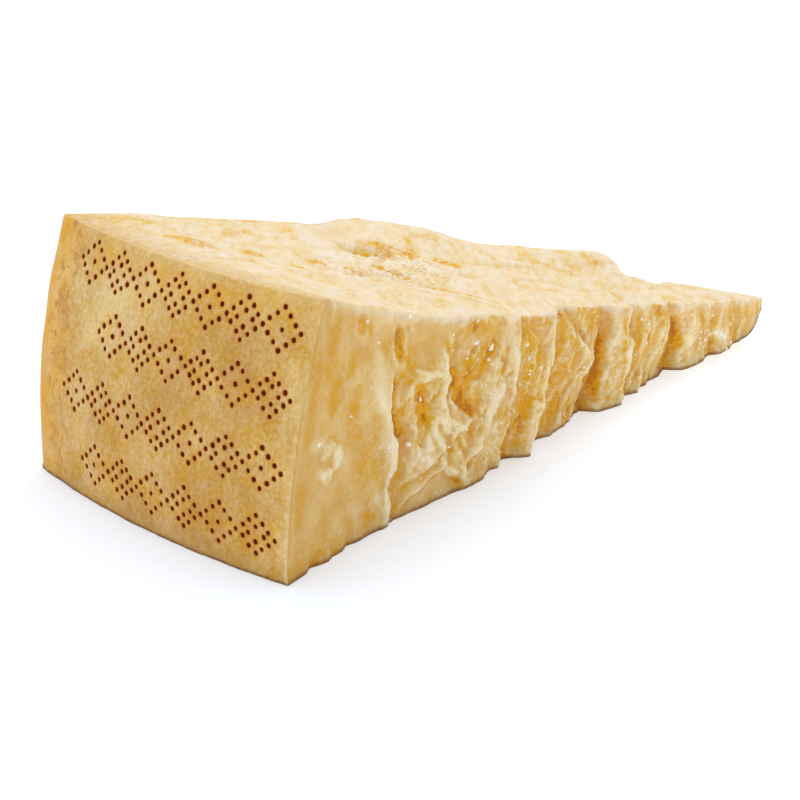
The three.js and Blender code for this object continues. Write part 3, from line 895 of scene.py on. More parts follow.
    def hollows(self, bm: Mesh, grid: Array) -> Array:
        """Measures how hollow the skin is at each vertex.

        Args:
            bm: The softened mesh.
            grid: Its vertices' (f, t, k).

        Returns:
            From -1 on crests to 1 in grooves.
        """
        bm.normal_update()
        bm.verts.index_update()
        places = np.array([v.co for v in bm.verts])
        normals = np.array([v.normal for v in bm.verts])
        short = [e for e in bm.edges if e.calc_length() < self.short_edge]
        ends = np.array([[v.index for v in e.verts] for e in short])
        f, t, k = grid.T
        on_side = (np.minimum(t, 1.0 - t) < TINY).astype(int)
        pinned = on_side + (k > 1.0 - TINY) + (f < TINY) + (k < TINY) > 1
        near = self.smoothed(places, ends, pinned, self.near_smoothing)
        far = self.smoothed(places, ends, pinned, self.far_smoothing)
        close_by = np.sum((near - places) * normals, axis=1)
        wide = np.sum((far - places) * normals, axis=1)
        return np.clip(self.near_weight * close_by + self.far_weight * wide, -1.0, 1.0)

    @staticmethod
    def smoothed(places: Array, ends: Array, pinned: Array, passes: int) -> Array:
        """Averages each place with its neighbours, again and again.

        Args:
            places: Starting places.
            ends: The two vertices of each edge.
            pinned: Vertices that stay.
            passes: How often.

        Returns:
            The smoothed places.
        """
        count = len(places)
        degree = np.maximum(np.bincount(ends.ravel(), minlength=count), 1)[:, None]
        out = places.copy()
        one, other = ends.T
        for _ in range(passes):
            sums = [
                np.bincount(one, out[other, a], count) + np.bincount(other, out[one, a], count)
                for a in range(3)
            ]
            moved = 0.5 * out + 0.5 * np.stack(sums, axis=1) / degree
            out = np.where(pinned[:, None], out, moved)
        return out

    def rind_grid(self, places: Array) -> Array:
        """Finds where places on the rind lay in the box that was bent.

        Args:
            places: In millimetres, one row each.

        Returns:
            Their rows of (f, t, k).
        """
        across = np.arcsin((places[:, 1] - self.axis.y) / self.drum_radius)
        t = 0.5 + across / (2.0 * self.half_angle)
        return np.stack([np.zeros_like(t), t, places[:, 2] / self.rind_height], axis=1)

    def crust_depth(self, places: Array) -> Array:
        """Gives how deep places lie under the rind.

        Args:
            places: In millimetres, one row each.

        Returns:
            Their depths.
        """
        x, y = places[:, 0] - self.axis.x, places[:, 1] - self.axis.y
        return self.drum_radius_at(places[:, 2]) - np.hypot(x, y)


@dataclass
class Skin:
    """The finished skin, on which small things are set."""

    wedge: Wedge
    tree: BVHTree
    clear: float = 12  # how far outside a ray starts
    above: float = 100

    def cast(self, start: Vector, toward: Vector, reach: float) -> Hit | None:
        """Finds where a ray meets the skin, if it does within its reach."""
        place, normal, _, _ = self.tree.ray_cast(start, toward, reach)
        return None if place is None else (place, normal)

    def on_side(self, face: Face, s: float, h: float) -> Hit | None:
        """Finds the skin of a split side.

        Args:
            face: The right or the left side.
            s: Place along its foot.
            h: Height.

        Returns:
            The place and its outward normal, or nothing where the side has ended.
        """
        w = self.wedge
        hand = -1.0 if face is Face.RIGHT else 1.0
        x = w.rind_foot_x + s * w.side_cos + w.axis.x
        y = hand * (w.half_width - s * w.side_sin) + w.axis.y
        out = Vector((w.side_sin, hand * w.side_cos, 0.0))
        return self.cast(Vector((x, y, h)) + out * self.clear, -out, 2 * self.clear)

    def on_top(self, s: float, y: float) -> Hit | None:
        """Finds the skin of the upper face.

        Args:
            s: Place along the wedge.
            y: Distance from its middle line.

        Returns:
            The place and its outward normal, or nothing beside the wedge.
        """
        w = self.wedge
        x = w.rind_foot_x + s * w.side_cos + w.axis.x
        start = Vector((x, y + w.axis.y, self.above))
        return self.cast(start, Vector((0.0, 0.0, -1.0)), self.above)

    def on_rind(self, arc: float, h: float) -> Hit | None:
        """Finds the skin of the rind.

        Args:
            arc: Arc length from the middle towards the right side.
            h: Height.

        Returns:
            The place and its outward normal, or nothing beside the wedge.
        """
        w = self.wedge
        angle = -arc / w.drum_radius
        out = Vector((-math.cos(angle), math.sin(angle), 0.0))
        start = w.axis + out * (w.drum_radius + self.clear) + Vector((0.0, 0.0, h))
        return self.cast(start, -out, 2 * self.clear)

    @staticmethod
    def standing(place: Vector, normal: Vector) -> Matrix:
        """Moves what stands upright at the origin to a place, along its normal."""
        turn = Vector((0.0, 0.0, 1.0)).rotation_difference(normal).to_matrix().to_4x4()
        return Matrix.Translation(place) @ turn


# ---- The pricked rind ----
@dataclass
class PrickedOrnament:
    """Bands of dotted lozenges, pricked round the rind with a blunt pin."""

    rows: tuple[Triple, ...] = (  # middle height, first and last arc
        (50, -31, 39.4), (37.3, -19, 39.4), (22.8, -30.4, 38.9), (8.8, -22, 38.2),
    )
    half_height: float = 4.1
    half_width: float = 4.6
    dots_per_edge: int = 3
    inner_size: float = 0.4
    mouth_radius: float = 0.6
    floor_radius: float = 0.44
    depth: float = 0.6
    collar_radius: float = 1.02
    collar_depth: float = 0.1
    proud: float = 0.2
    segments: int = 8
    stray: float = 0.1
    size_range: Pair = (0.85, 1.04)

    def lozenge(self, filled: bool) -> list[Pair]:
        """Lists the dots of one lozenge, but not the corner shared with the next.

        Args:
            filled: Whether it holds a smaller lozenge, or else one dot.

        Returns:
            Arc and height of each dot from the lozenge's middle.
        """
        corners = [
            (-self.half_width, 0.0), (0.0, self.half_height), (self.half_width, 0.0),
            (0.0, -self.half_height), (-self.half_width, 0.0),
        ]
        inner = [(self.inner_size * a, self.inner_size * h) for a, h in corners[1:]]
        dots = inner if filled else [(0.0, 0.0)]
        for (a0, h0), (a1, h1) in zip(corners, corners[1:]):
            for i in range(self.dots_per_edge):
                share = i / self.dots_per_edge
                dots.append((mix(a0, a1, share), mix(h0, h1, share)))
        return [dot for dot in dots if dot != (self.half_width, 0.0)]

    def dots(self, dice: np.random.Generator) -> list[Pair]:
        """Lays the bands out.

        Args:
            dice: Gives each dot its small stray.

        Returns:
            Arc and height of every dot.
        """
        out = []
        for middle, first, last in self.rows:
            count = int((last - first) // (2 * self.half_width))
            pitch = (last - first) / count
            for i in range(count):
                centre = first + (i + 0.5) * pitch
                for a, h in self.lozenge(filled=i % 2 == 1):
                    da, dh = dice.normal(0.0, self.stray, 2)
                    out.append((centre + a * pitch / (2 * self.half_width) + da, middle + h + dh))
            out.append((last, middle))
        return out

    def pin(self) -> bpy.types.Mesh:
        """Spins one blunt pin, whose collar is material 1.

        Returns:
            Its mesh, with its tip down and the rind's skin at height 0.
        """
        profile = (
            (0.0, -self.depth), (self.floor_radius, -self.depth),
            (self.mouth_radius, -self.collar_depth), (self.collar_radius, 0.0),
            (self.collar_radius, self.proud), (0.0, self.proud),
        )
        bm = bmesh.new()
        verts = [bm.verts.new((r, 0.0, z)) for r, z in profile]
        edges = [bm.edges.new(pair) for pair in zip(verts, verts[1:])]
        bmesh.ops.spin(
            bm, geom=verts + edges, axis=(0.0, 0.0, 1.0), cent=(0.0, 0.0, 0.0),
            angle=math.tau, steps=self.segments, use_merge=True,
        )
        bmesh.ops.remove_doubles(bm, verts=bm.verts, dist=1e-4)
        bmesh.ops.recalc_face_normals(bm, faces=bm.faces)
        for face in bm.faces:
            low = min(v.co.z for v in face.verts)
            face.material_index = 1 if low > -self.collar_depth - self.proud / 2 else 0
        # an amber ring round each pricked hole
        scorch = bm.verts.layers.float.new("scorch")
        ringed = (self.mouth_radius + self.collar_radius) / 2
        for vert in bm.verts:
            vert[scorch] = 1.0 if vert.co.xy.length < ringed else 0.0
        mesh = bpy.data.meshes.new("pin")
        bm.to_mesh(mesh)
        bm.free()
        return mesh

    def pegs(self, skin: Skin, dice: np.random.Generator) -> Mesh:
        """Stands the pins in the rind.

        Args:
            skin: Where they stand.
            dice: Gives each its small stray and its size.

        Returns:
            All pins in one mesh.
        """
        bm = bmesh.new()
        bm.verts.layers.float.new("scorch")
        pin = self.pin()
        for arc, h in self.dots(dice):
            found = skin.on_rind(arc, h)
            if found is None:
                continue
            size = Matrix.Scale(dice.uniform(*self.size_range), 4)
            copy = pin.copy()
            copy.transform(skin.standing(*found) @ size)
            bm.from_mesh(copy)
            bpy.data.meshes.remove(copy)
        bpy.data.meshes.remove(pin)
        return bm


# ---- Small things on the split faces ----
@dataclass
class Lumps:
    """Small uneven lumps that sit on the split faces."""

    smallest: float  # half sizes
    largest: float
    rarity: float  # the higher, the fewer are large
    sunk: float  # share of the half size that lies under the skin
    side_count: int
    side_span: Pair
    side_heights: Pair  # at the rind
    side_share: float  # of the usual size
    side_fall: float = 0.23  # how much lower a side gets with each millimetre
    length_range: Pair = (0.8, 1.3)
    width_range: Pair = (0.7, 1.1)
    flatness: float = 0.7
    uneven: float = 0.16

    def size(self, dice: np.random.Generator) -> float:
        """Draws a half size, small ones more often."""
        return mix(self.smallest, self.largest, dice.random() ** self.rarity)

    def placed(self, skin: Skin, dice: np.random.Generator) -> Iterator[Spot]:
        """Finds places for lumps.

        Args:
            skin: What they sit on.
            dice: Scatters them over both sides.

        Yields:
            Each place, if the skin has it, and a half size.
        """
        lowest, highest = self.side_heights
        for face in Face:
            for _ in range(self.side_count):
                s = dice.uniform(*self.side_span)
                h = dice.uniform(lowest, highest - self.side_fall * s)
                yield skin.on_side(face, s, h), self.size(dice) * self.side_share

    def made(self, skin: Skin, dice: np.random.Generator) -> Mesh:
        """Makes one small uneven lump at each place.

        Args:
            skin: What they sit on.
            dice: Scatters them and gives each its own shape.

        Returns:
            All lumps in one mesh, in millimetres.
        """
        bm = bmesh.new()
        for found, size in list(self.placed(skin, dice)):
            if found is None:
                continue
            place, normal = found
            spin = Matrix.Rotation(dice.uniform(0, math.tau), 4, "Z")
            length, width = dice.uniform(*self.length_range), dice.uniform(*self.width_range)
            centre = place + normal * size * (self.flatness - 2.0 * self.flatness * self.sunk)
            flat = Matrix.Diagonal((length, width, self.flatness, 1.0))
            lump = bmesh.ops.create_icosphere(
                bm, subdivisions=1, radius=size, matrix=skin.standing(centre, normal) @ spin @ flat
            )
            for vert in lump["verts"]:
                vert.co += Vector(dice.normal(0.0, self.uneven * size, 3))
        return bm


@dataclass
class Crystals(Lumps):
    """White crystals that stand in the paste."""

    smallest: float = 0.2
    largest: float = 0.5
    rarity: float = 2
    sunk: float = 0.6
    side_count: int = 60
    side_span: Pair = (8, 190)
    side_heights: Pair = (2, 54)
    side_share: float = 1
    right_spots: tuple[Triple, ...] = (  # s, height and size
        (67.3, 32.4, 1), (61.2, 34.9, 0.8), (66.6, 29.7, 0.6), (52.3, 31.9, 0.8),
        (52.1, 39, 0.6), (41.9, 17.1, 0.8), (44, 26.6, 0.8), (98.4, 19.4, 0.7), (97, 21, 0.5),
        (176.6, 7.2, 1.1), (174.6, 8, 0.9), (178.2, 6.4, 0.9), (169.7, 7.2, 0.7), (8, 27.4, 0.7),
        (10.4, 20.6, 0.6), (15.6, 22.4, 0.5), (21.6, 49.4, 0.5), (26, 44, 0.5), (47.5, 12, 0.6),
        (36, 47, 0.5), (128.5, 16, 0.6), (140, 14, 0.5), (174.6, 7.8, 0.5), (181.2, 8.6, 0.5),
        (63, 30.6, 0.5), (59.4, 31.6, 0.5), (54.6, 34.6, 0.4), (79.4, 30, 0.6), (80.8, 26.4, 0.5),
        (86.4, 22.8, 0.5), (72.6, 12.4, 0.5), (56.4, 12.2, 0.5), (150.4, 13, 0.5), (111, 13, 0.5),
    )
    spot_share: float = 0.9

    def placed(self, skin: Skin, dice: np.random.Generator) -> Iterator[Spot]:
        """Finds places for the crystals.

        Args:
            skin: What they sit on.
            dice: Scatters the small ones.

        Yields:
            The large crystals first, and then those of both sides.
        """
        for s, h, size in self.right_spots:
            yield skin.on_side(Face.RIGHT, s, h), size * self.spot_share
        yield from super().placed(skin, dice)


@dataclass
class Crumbs(Lumps):
    """Crumbs that cling to the torn patch of the top and to ledges of the sides."""

    smallest: float = 0.15
    largest: float = 0.5
    rarity: float = 3
    sunk: float = 0.45
    side_count: int = 120
    side_span: Pair = (36, 185)
    side_heights: Pair = (1, 50)
    side_share: float = 0.8
    patch_count: int = 420
    patch_s: Pair = (69, 9)  # middle and spread
    patch_y: Pair = (0, 6)

    def placed(self, skin: Skin, dice: np.random.Generator) -> Iterator[Spot]:
        """Finds places for the crumbs.

        Args:
            skin: What they sit on.
            dice: Scatters them.

        Yields:
            The crumbs of the torn patch first, and then those of both sides.
        """
        for _ in range(self.patch_count):
            s, y = dice.normal(*self.patch_s), dice.normal(*self.patch_y)
            yield skin.on_top(s, y), self.size(dice)
        yield from super().placed(skin, dice)


# ---- Finishes ----
def srgb(code: str) -> Colour:
    """Turns a colour code such as "d4b06e" into linear light."""
    parts = [int(code[i:i + 2], 16) / 255.0 for i in (0, 2, 4)]
    return tuple(p / 12.92 if p <= 0.04045 else ((p + 0.055) / 1.055) ** 2.4 for p in parts)


@dataclass(frozen=True)
class Surface:
    """How a finish feels and shines, and how light goes into it."""

    roughness: float
    gloss: float = 0.5
    bump: float = 0
    glow: float = 0
    glow_reach: float = 2
    glow_radius: Triple = (1, 0.7, 0.3)


class Shader:
    """A material whose node tree is built by small calls."""

    def __init__(self, name: str) -> None:
        """Starts a material with one Principled surface.

        Args:
            name: Of the material.
        """
        self.material = bpy.data.materials.new(name)
        self.material.use_nodes = True
        self.tree = self.material.node_tree
        self.principled = self.tree.nodes["Principled BSDF"]
        self.place = self.add("ShaderNodeTexCoord").outputs["Object"]

    def add(self, kind: str) -> bpy.types.Node:
        """Adds a node."""
        return self.tree.nodes.new(kind)

    def link(self, source: Feed, socket: Socket) -> None:
        """Feeds a socket.

        Args:
            source: The other socket, a number or a colour.
            socket: The socket that is fed.
        """
        if isinstance(source, Socket):
            self.tree.links.new(source, socket)
        elif isinstance(source, tuple):
            socket.default_value = (*source, 1.0)
        else:
            socket.default_value = source

    def attribute(self, name: str) -> Socket:
        """Reads a number that the mesh carries.

        Args:
            name: Under which it is stored.

        Returns:
            The number.
        """
        node = self.add("ShaderNodeAttribute")
        node.attribute_name = name
        return node.outputs["Fac"]

    def noise(
        self, size: float, detail: float = 3.0, stretch: Triple = (1.0, 1.0, 1.0),
        rough: float = 0.5, turn: float = 0.0,
    ) -> Socket:
        """Makes soft noise.

        Args:
            size: Of a blotch, in millimetres.
            detail: How many finer layers it has.
            stretch: How many times longer the blotches are along each axis.
            rough: Strength of the finer layers.
            turn: Degrees by which the first two axes are turned to the left.

        Returns:
            A number from about -1 to 1.
        """
        mapping = self.add("ShaderNodeMapping")
        mapping.vector_type = "TEXTURE"
        self.tree.links.new(self.place, mapping.inputs["Vector"])
        mapping.inputs["Rotation"].default_value = (0.0, 0.0, math.radians(turn))
        mapping.inputs["Scale"].default_value = tuple(size * MM * a for a in stretch)
        node = self.add("ShaderNodeTexNoise")
        self.tree.links.new(mapping.outputs["Vector"], node.inputs["Vector"])
        node.inputs["Scale"].default_value = 1.0
        node.inputs["Detail"].default_value = detail
        node.inputs["Roughness"].default_value = rough
        return self.spread(node.outputs["Fac"], 0.25, 0.75, -1.0, 1.0)

    def math(self, operation: str, a: Feed, b: Feed) -> Socket:
        """Does a sum with two numbers.

        Args:
            operation: What is done with them.
            a: First number.
            b: Second number.

        Returns:
            The outcome.
        """
        node = self.add("ShaderNodeMath")
        node.operation = operation
        self.link(a, node.inputs[0])
        self.link(b, node.inputs[1])
        return node.outputs[0]

    def plus(self, a: Feed, b: Feed) -> Socket:
        """Adds two numbers."""
        return self.math("ADD", a, b)

    def times(self, a: Feed, b: Feed) -> Socket:
        """Multiplies two numbers."""
        return self.math("MULTIPLY", a, b)

    def sum(self, *terms: tuple[Feed, float]) -> Socket:
        """Adds numbers, each times its weight, to one half.

        Args:
            *terms: Numbers and their weights.

        Returns:
            The total.
        """
        total: Feed = 0.5
        for value, weight in terms:
            total = self.plus(total, self.times(value, weight))
        return total

    def spread(
        self, value: Feed, low: float, high: float, to_low: float = 0.0, to_high: float = 1.0
    ) -> Socket:
        """Stretches a range of a number onto another one, held at both ends.

        Args:
            value: The number.
            low: Where its range starts.
            high: Where its range ends.
            to_low: What the start becomes.
            to_high: What the end becomes.

        Returns:
            The stretched number.
        """
        node = self.add("ShaderNodeMapRange")
        self.link(value, node.inputs["Value"])
        names = ("From Min", "From Max", "To Min", "To Max")
        for name, number in zip(names, (low, high, to_low, to_high)):
            node.inputs[name].default_value = number
        return node.outputs["Result"]

    def ramp(self, value: Feed, places: Sequence[float], colours: Sequence[Colour]) -> Socket:
        """Colours a number.

        Args:
            value: The number, from 0 to 1.
            places: Where the colours lie, in rising order.
            colours: One for each place.

        Returns:
            The colour.
        """
        node = self.add("ShaderNodeValToRGB")
        self.link(value, node.inputs["Fac"])
        elements = node.color_ramp.elements
        while len(elements) < len(places):
            elements.new(0.5)
        for element, place, colour in zip(elements, places, colours):
            element.position = place
            element.color = (*colour, 1.0)
        return node.outputs["Color"]

    def blend(self, share: Feed, a: Feed, b: Feed) -> Socket:
        """Goes from one colour to another.

        Args:
            share: How far it goes, from 0 to 1.
            a: First colour.
            b: Second colour.

        Returns:
            The mixed colour.
        """
        node = self.add("ShaderNodeMix")
        node.data_type = "RGBA"
        self.link(share, node.inputs["Factor"])
        one, other = (i for i in node.inputs if i.type == "RGBA")
        self.link(a, one)
        self.link(b, other)
        return next(o for o in node.outputs if o.type == "RGBA")

    def toned(self, colour: Feed, strength: Feed, brightness: Feed = 1.0) -> Socket:
        """Changes how strong and how bright a colour is.

        Args:
            colour: The colour.
            strength: Factor of its strength.
            brightness: Factor of its brightness.

        Returns:
            The changed colour.
        """
        node = self.add("ShaderNodeHueSaturation")
        self.link(strength, node.inputs["Saturation"])
        self.link(brightness, node.inputs["Value"])
        self.link(colour, node.inputs["Color"])
        return node.outputs["Color"]

    def finish(
        self, colour: Feed, surface: Surface, height: Feed | None = None
    ) -> bpy.types.Material:
        """Dresses the surface.

        Args:
            colour: Its colour.
            surface: Its feel, shine and glow.
            height: Its fine relief, if it has any.

        Returns:
            The finished material.
        """
        inputs = self.principled.inputs
        self.link(colour, inputs["Base Color"])
        inputs["Roughness"].default_value = surface.roughness
        inputs["Specular IOR Level"].default_value = surface.gloss
        if height is not None:
            node = self.add("ShaderNodeBump")
            node.inputs["Distance"].default_value = surface.bump * MM
            self.link(height, node.inputs["Height"])
            self.link(node.outputs["Normal"], inputs["Normal"])
        if surface.glow:
            inputs["Subsurface Weight"].default_value = surface.glow
            inputs["Subsurface Scale"].default_value = surface.glow_reach * MM
            inputs["Subsurface Radius"].default_value = surface.glow_radius
        return self.material


@dataclass(frozen=True)
class FootShadow:
    """A painted contact shadow: a thin dark ragged line along the foot, with a faint painted shade
    above it.
    """

    colour: Colour
    reach: float
    shade: float
    core: float = 0.15  # height up to which the painted shadow line is at its darkest
    cover: float = 0.9
    raggedness: float = 0.4
    shade_height: float = 5

    def drawn(self, sh: Shader, colour: Feed, ragged: Feed) -> Socket:
        """Paints a contact shadow and a faint shade along the foot.

        Args:
            sh: The material at work.
            colour: Its colour so far.
            ragged: Noise that makes the line uneven.

        Returns:
            The darkened colour.
        """
        above = sh.plus(sh.attribute("foot"), sh.times(ragged, self.raggedness))
        shaded = sh.toned(colour, 1.0, sh.spread(above, 0.0, self.shade_height, self.shade, 1.0))
        line = sh.spread(above, self.core, self.reach, self.cover, 0.0)
        return sh.blend(line, shaded, self.colour)


class PasteShader(Shader):
    """The paste's material, with the noises that its sides and its top share."""

    def __init__(self) -> None:
        """Reads what the mesh carries and makes the noises."""
        super().__init__("split paste")
        self.hollow, self.drop = self.attribute("hollow"), self.attribute("drop")
        self.broad, self.mid = self.noise(9, 3), self.noise(3, 4, rough=0.6)
        self.fine, self.grain = self.noise(1.1, 4, rough=0.65), self.noise(0.45, 2)
        self.upright = self.noise(1.6, 3, stretch=(1.0, 1.0, 4.0))
        uneven_edge = self.spread(self.fine, -0.5, 0.3, 0.5, 1.0)
        self.ragged = self.times(self.attribute("streak"), uneven_edge)
        self.speckle = self.plus(self.times(self.fine, 0.17), self.times(self.grain, 0.12))


@dataclass(frozen=True)
class PasteFinish:
    """Split paste: pale crests and golden hollows, partly painted light and shade, and a creamy
    upper face.
    """

    pale: Colour = srgb("f2dfb2")
    straw: Colour = srgb("e2c07a")
    gold: Colour = srgb("d9a850")
    amber: Colour = srgb("de9f24")
    deep: Colour = srgb("be7400")
    cream: Colour = srgb("efdfc3")
    cream_mid: Colour = srgb("e6d0a7")
    cream_deep: Colour = srgb("e2be74")
    cream_amber: Colour = srgb("dfa53a")
    edge: Colour = srgb("ecc98a")
    edge_span: Pair = (0.5, 8)
    crust: Colour = srgb("cf9c44")
    crust_reach: float = 13
    grain_turn: float = 45  # the top's flecks lie across the wedge
    side_strength: float = 0.47
    top_strength: float = 0.5
    # painted contact shadow and shade along the foot of the paste
    foot: FootShadow = FootShadow(srgb("6e3e0c"), 1.3, 0.88)
    surface: Surface = Surface(0.6, 0.2, 0.06, 0.15)

    def sides(self, sh: PasteShader) -> Socket:
        """Colours the split sides by their hollows and streaks, under a pale top edge; the gold of
        the hollows is partly painted shade and glow, and the sides are painted darker towards the
        foot as shade.

        Args:
            sh: The material at work.

        Returns:
            The colour.
        """
        lively = sh.spread(sh.attribute("calm"), 0.0, 1.0, 1.0, 0.3)
        mottle = sh.sum((sh.mid, 0.13), (sh.upright, 0.04), (sh.speckle, 0.75))
        mottle = sh.times(sh.math("SUBTRACT", mottle, 0.5), lively)
        # the hollows' share is partly painted shade and glow: deeper gold in the hollows, paler on
        # the crests
        level = sh.sum((sh.hollow, 0.4), (sh.broad, 0.12), (mottle, 1.0), (sh.ragged, 0.45))
        colours = (self.pale, self.straw, self.gold, self.amber, self.deep)
        colour = sh.ramp(level, (0.08, 0.38, 0.58, 0.8, 1.0), colours)
        patches = sh.times(sh.noise(5.5, 4, rough=0.6), sh.spread(lively, 0.3, 1.0, 0.4, 1.0))
        strength = sh.sum(
            (patches, 0.18), (sh.noise(1.7, 3), 0.08), (sh.fine, 0.06),
            (sh.spread(sh.ragged, 0.0, 1.0), 0.3),
        )
        # painted shade: the split sides grow darker towards the foot
        low = sh.spread(sh.attribute("rise"), 0.0, 0.55, 0.9, 0.99)
        colour = sh.toned(colour, sh.plus(strength, self.side_strength), low)
        pale_edge = sh.spread(sh.drop, *self.edge_span, 0.8, 0.0)
        broken_up = sh.spread(sh.plus(sh.mid, sh.ragged), 0.6, -0.6, 0.2, 1.0)
        return sh.blend(sh.times(pale_edge, broken_up), colour, self.edge)

    def top(self, sh: PasteShader) -> Socket:
        """Colours the upper face.

        Args:
            sh: The material at work.

        Returns:
            The colour.
        """
        across = {"detail": 4, "stretch": (2.4, 1.0, 1.0), "turn": self.grain_turn}
        soft, spots = sh.noise(4, **across), sh.noise(1.5, rough=0.6, **across)
        # the hollows' share is partly painted shade: deeper cream in the hollows, paler on the
        # crests
        level = sh.sum(
            (sh.hollow, 0.3), (sh.broad, 0.1), (soft, 0.18), (spots, 0.16), (sh.speckle, 0.5),
            (sh.ragged, 0.7),
        )
        colours = (self.cream, self.cream_mid, self.cream_deep, self.cream_amber)
        colour = sh.ramp(level, (0.12, 0.55, 0.8, 1.0), colours)
        large, small = (sh.noise(size, rough=0.6, **across) for size in (5.5, 2))
        strength = sh.sum((large, 0.33), (small, 0.25))
        return sh.toned(colour, sh.plus(strength, self.top_strength))

    def material(self) -> bpy.types.Material:
        """Builds the material, with a browner band by the rind.

        Returns:
            The finished material.
        """
        sh = PasteShader()
        creamy = sh.spread(sh.plus(sh.drop, sh.times(sh.mid, 0.6)), 0.3, 2.2, 1.0, 0.0)
        colour = sh.blend(creamy, self.sides(sh), self.top(sh))
        near_rind = sh.spread(sh.attribute("crust"), 0.0, self.crust_reach, 0.7, 0.0)
        near_rind = sh.times(near_rind, sh.spread(sh.upright, -0.6, 0.4, 0.4, 1.0))
        colour = self.foot.drawn(sh, sh.blend(near_rind, colour, self.crust), sh.fine)
        return sh.finish(colour, self.surface, sh.plus(sh.fine, sh.times(sh.grain, 0.6)))


@dataclass(frozen=True)
class SawnFinish:
    """Sawn underside: even paste with faint marks of the wire across it."""

    pale: Colour = srgb("ecd9a8")
    straw: Colour = srgb("d8b46c")
    surface: Surface = Surface(0.55, 0.25, 0.05, 0.2)

    def material(self) -> bpy.types.Material:
        """Builds the material.

        Returns:
            The finished material.
        """
        sh = Shader("sawn paste")
        wire, mottle = sh.noise(0.8, 3, stretch=(1.0, 9.0, 1.0)), sh.noise(7, 5, rough=0.6)
        fine = sh.noise(1.0, 3)
        level = sh.sum((wire, 0.14), (mottle, 0.3), (fine, 0.15))
        colour = sh.ramp(level, (0.1, 0.9), (self.pale, self.straw))
        return sh.finish(colour, self.surface, sh.plus(wire, fine))


@dataclass(frozen=True)
class RindFinish:
    """Oiled rind: mottled tan with golden edges, a pale rubbed rim along the top and a painted
    highlight down the right corner.
    """

    pale: Colour = srgb("ecd094")
    tan: Colour = srgb("d3a65c")
    brown: Colour = srgb("ae7a36")
    blotch: Colour = srgb("b0682c")
    amber: Colour = srgb("e8aa10")
    rim: Colour = srgb("eccf94")
    scorch: Colour = srgb("d8861c")
    darkness: float = 0.02
    strength: float = 0.56
    golden_cover: float = 0.85
    hole_ring_cover: float = 0.95
    pale_rim_span: Pair = (0.75, 1.3)
    # painted contact shadow and shade along the foot of the rind
    foot: FootShadow = FootShadow(srgb("6e3c08"), 0.9, 0.82)
    surface: Surface = Surface(0.5, 0.3, 0.06, 0.15, 1.5, (1, 0.7, 0.35))

    def material(self) -> bpy.types.Material:
        """Builds the material.

        Returns:
            The finished material.
        """
        sh = Shader("rind")
        broad, upright = sh.noise(11, 5, rough=0.6), sh.noise(1.8, 3, stretch=(1.0, 1.0, 5.0))
        fine, grain = sh.noise(0.9, 3), sh.noise(0.4, 2)
        patches, flecks = sh.noise(6, 5, rough=0.65), sh.noise(1.4, 3)
        level = sh.sum(
            (broad, 0.17), (upright, 0.06), (fine, 0.14), (grain, 0.08),
            (sh.attribute("rise"), -0.17), (sh.attribute("streak"), 0.24),
        )
        colours = (self.pale, self.tan, self.brown)
        colour = sh.ramp(sh.plus(level, self.darkness), (0.1, 0.5, 0.95), colours)
        strength = sh.sum((patches, 0.13), (flecks, 0.09), (fine, 0.06))
        colour = sh.toned(colour, sh.plus(strength, self.strength))
        golden = sh.times(sh.attribute("golden"), sh.spread(patches, -0.6, 0.3, 0.4, 1.0))
        colour = sh.blend(sh.times(golden, self.golden_cover), colour, self.amber)
        blots = sh.spread(sh.noise(3, 5), 0.0, 0.5, 0.0, 0.35)
        specks = sh.spread(sh.noise(1.3, 2), 0.3, 0.6, 0.0, 0.4)
        stained = sh.times(sh.attribute("left_edge"), sh.plus(blots, specks))
        colour = sh.blend(stained, colour, self.blotch)
        # a pale rubbed rim along the top edge, and a painted highlight down the right corner
        pale_rim = sh.sum((sh.attribute("rim"), 1.0), (flecks, 0.35), (fine, 0.15))
        colour = sh.blend(sh.spread(pale_rim, *self.pale_rim_span, 0.0, 0.9), colour, self.rim)
        # an amber ring round each pricked hole
        ringed = sh.times(sh.attribute("scorch"), self.hole_ring_cover)
        colour = self.foot.drawn(sh, sh.blend(ringed, colour, self.scorch), fine)
        return sh.finish(colour, self.surface, sh.sum((fine, 1.0), (grain, 0.5)))


@dataclass(frozen=True)
class PlainFinish:
    """One colour, for small things."""

    name: str
    colour: Colour
    surface: Surface

    def material(self) -> bpy.types.Material:
        """Builds the material."""
        return Shader(self.name).finish(self.colour, self.surface)


# painted shade: the holes pricked in the rind have dark brown walls and floors
HOLE_SHADE = PlainFinish("pricked holes", srgb("7c3400"), Surface(0.8, 0.05))
CRYSTAL = PlainFinish("crystals", srgb("fbf2de"), Surface(0.5))
CRUMB = PlainFinish("crumbs", srgb("f8e6be"), Surface(0.6))


# ---- Putting it together ----
def shown(name: str, data: bpy.types.ID) -> bpy.types.Object:
    """Puts a new object in the scene.

    Args:
        name: Of the object.
        data: The mesh, light or camera.

    Returns:
        The object, at the origin.
    """
    piece = bpy.data.objects.new(name, data)
    bpy.context.collection.objects.link(piece)
    return piece


def finished(
    name: str, bm: Mesh, materials: Sequence[bpy.types.Material], smooth: bool = True
) -> bpy.types.Object:
    """Turns a mesh in millimetres into an object in metres.

    Args:
        name: Of the object.
        bm: The mesh; it is freed.
        materials: Its material slots, in order.
        smooth: Whether its faces are shaded as one.

    Returns:
        The object, at the origin.
    """
    bmesh.ops.scale(bm, verts=bm.verts, vec=(MM, MM, MM))
    mesh = bpy.data.meshes.new(name)
    bm.to_mesh(mesh)
    bm.free()
    for material in materials:
        mesh.materials.append(material)
    mesh.polygons.foreach_set("use_smooth", [smooth] * len(mesh.polygons))
    return shown(name, mesh)


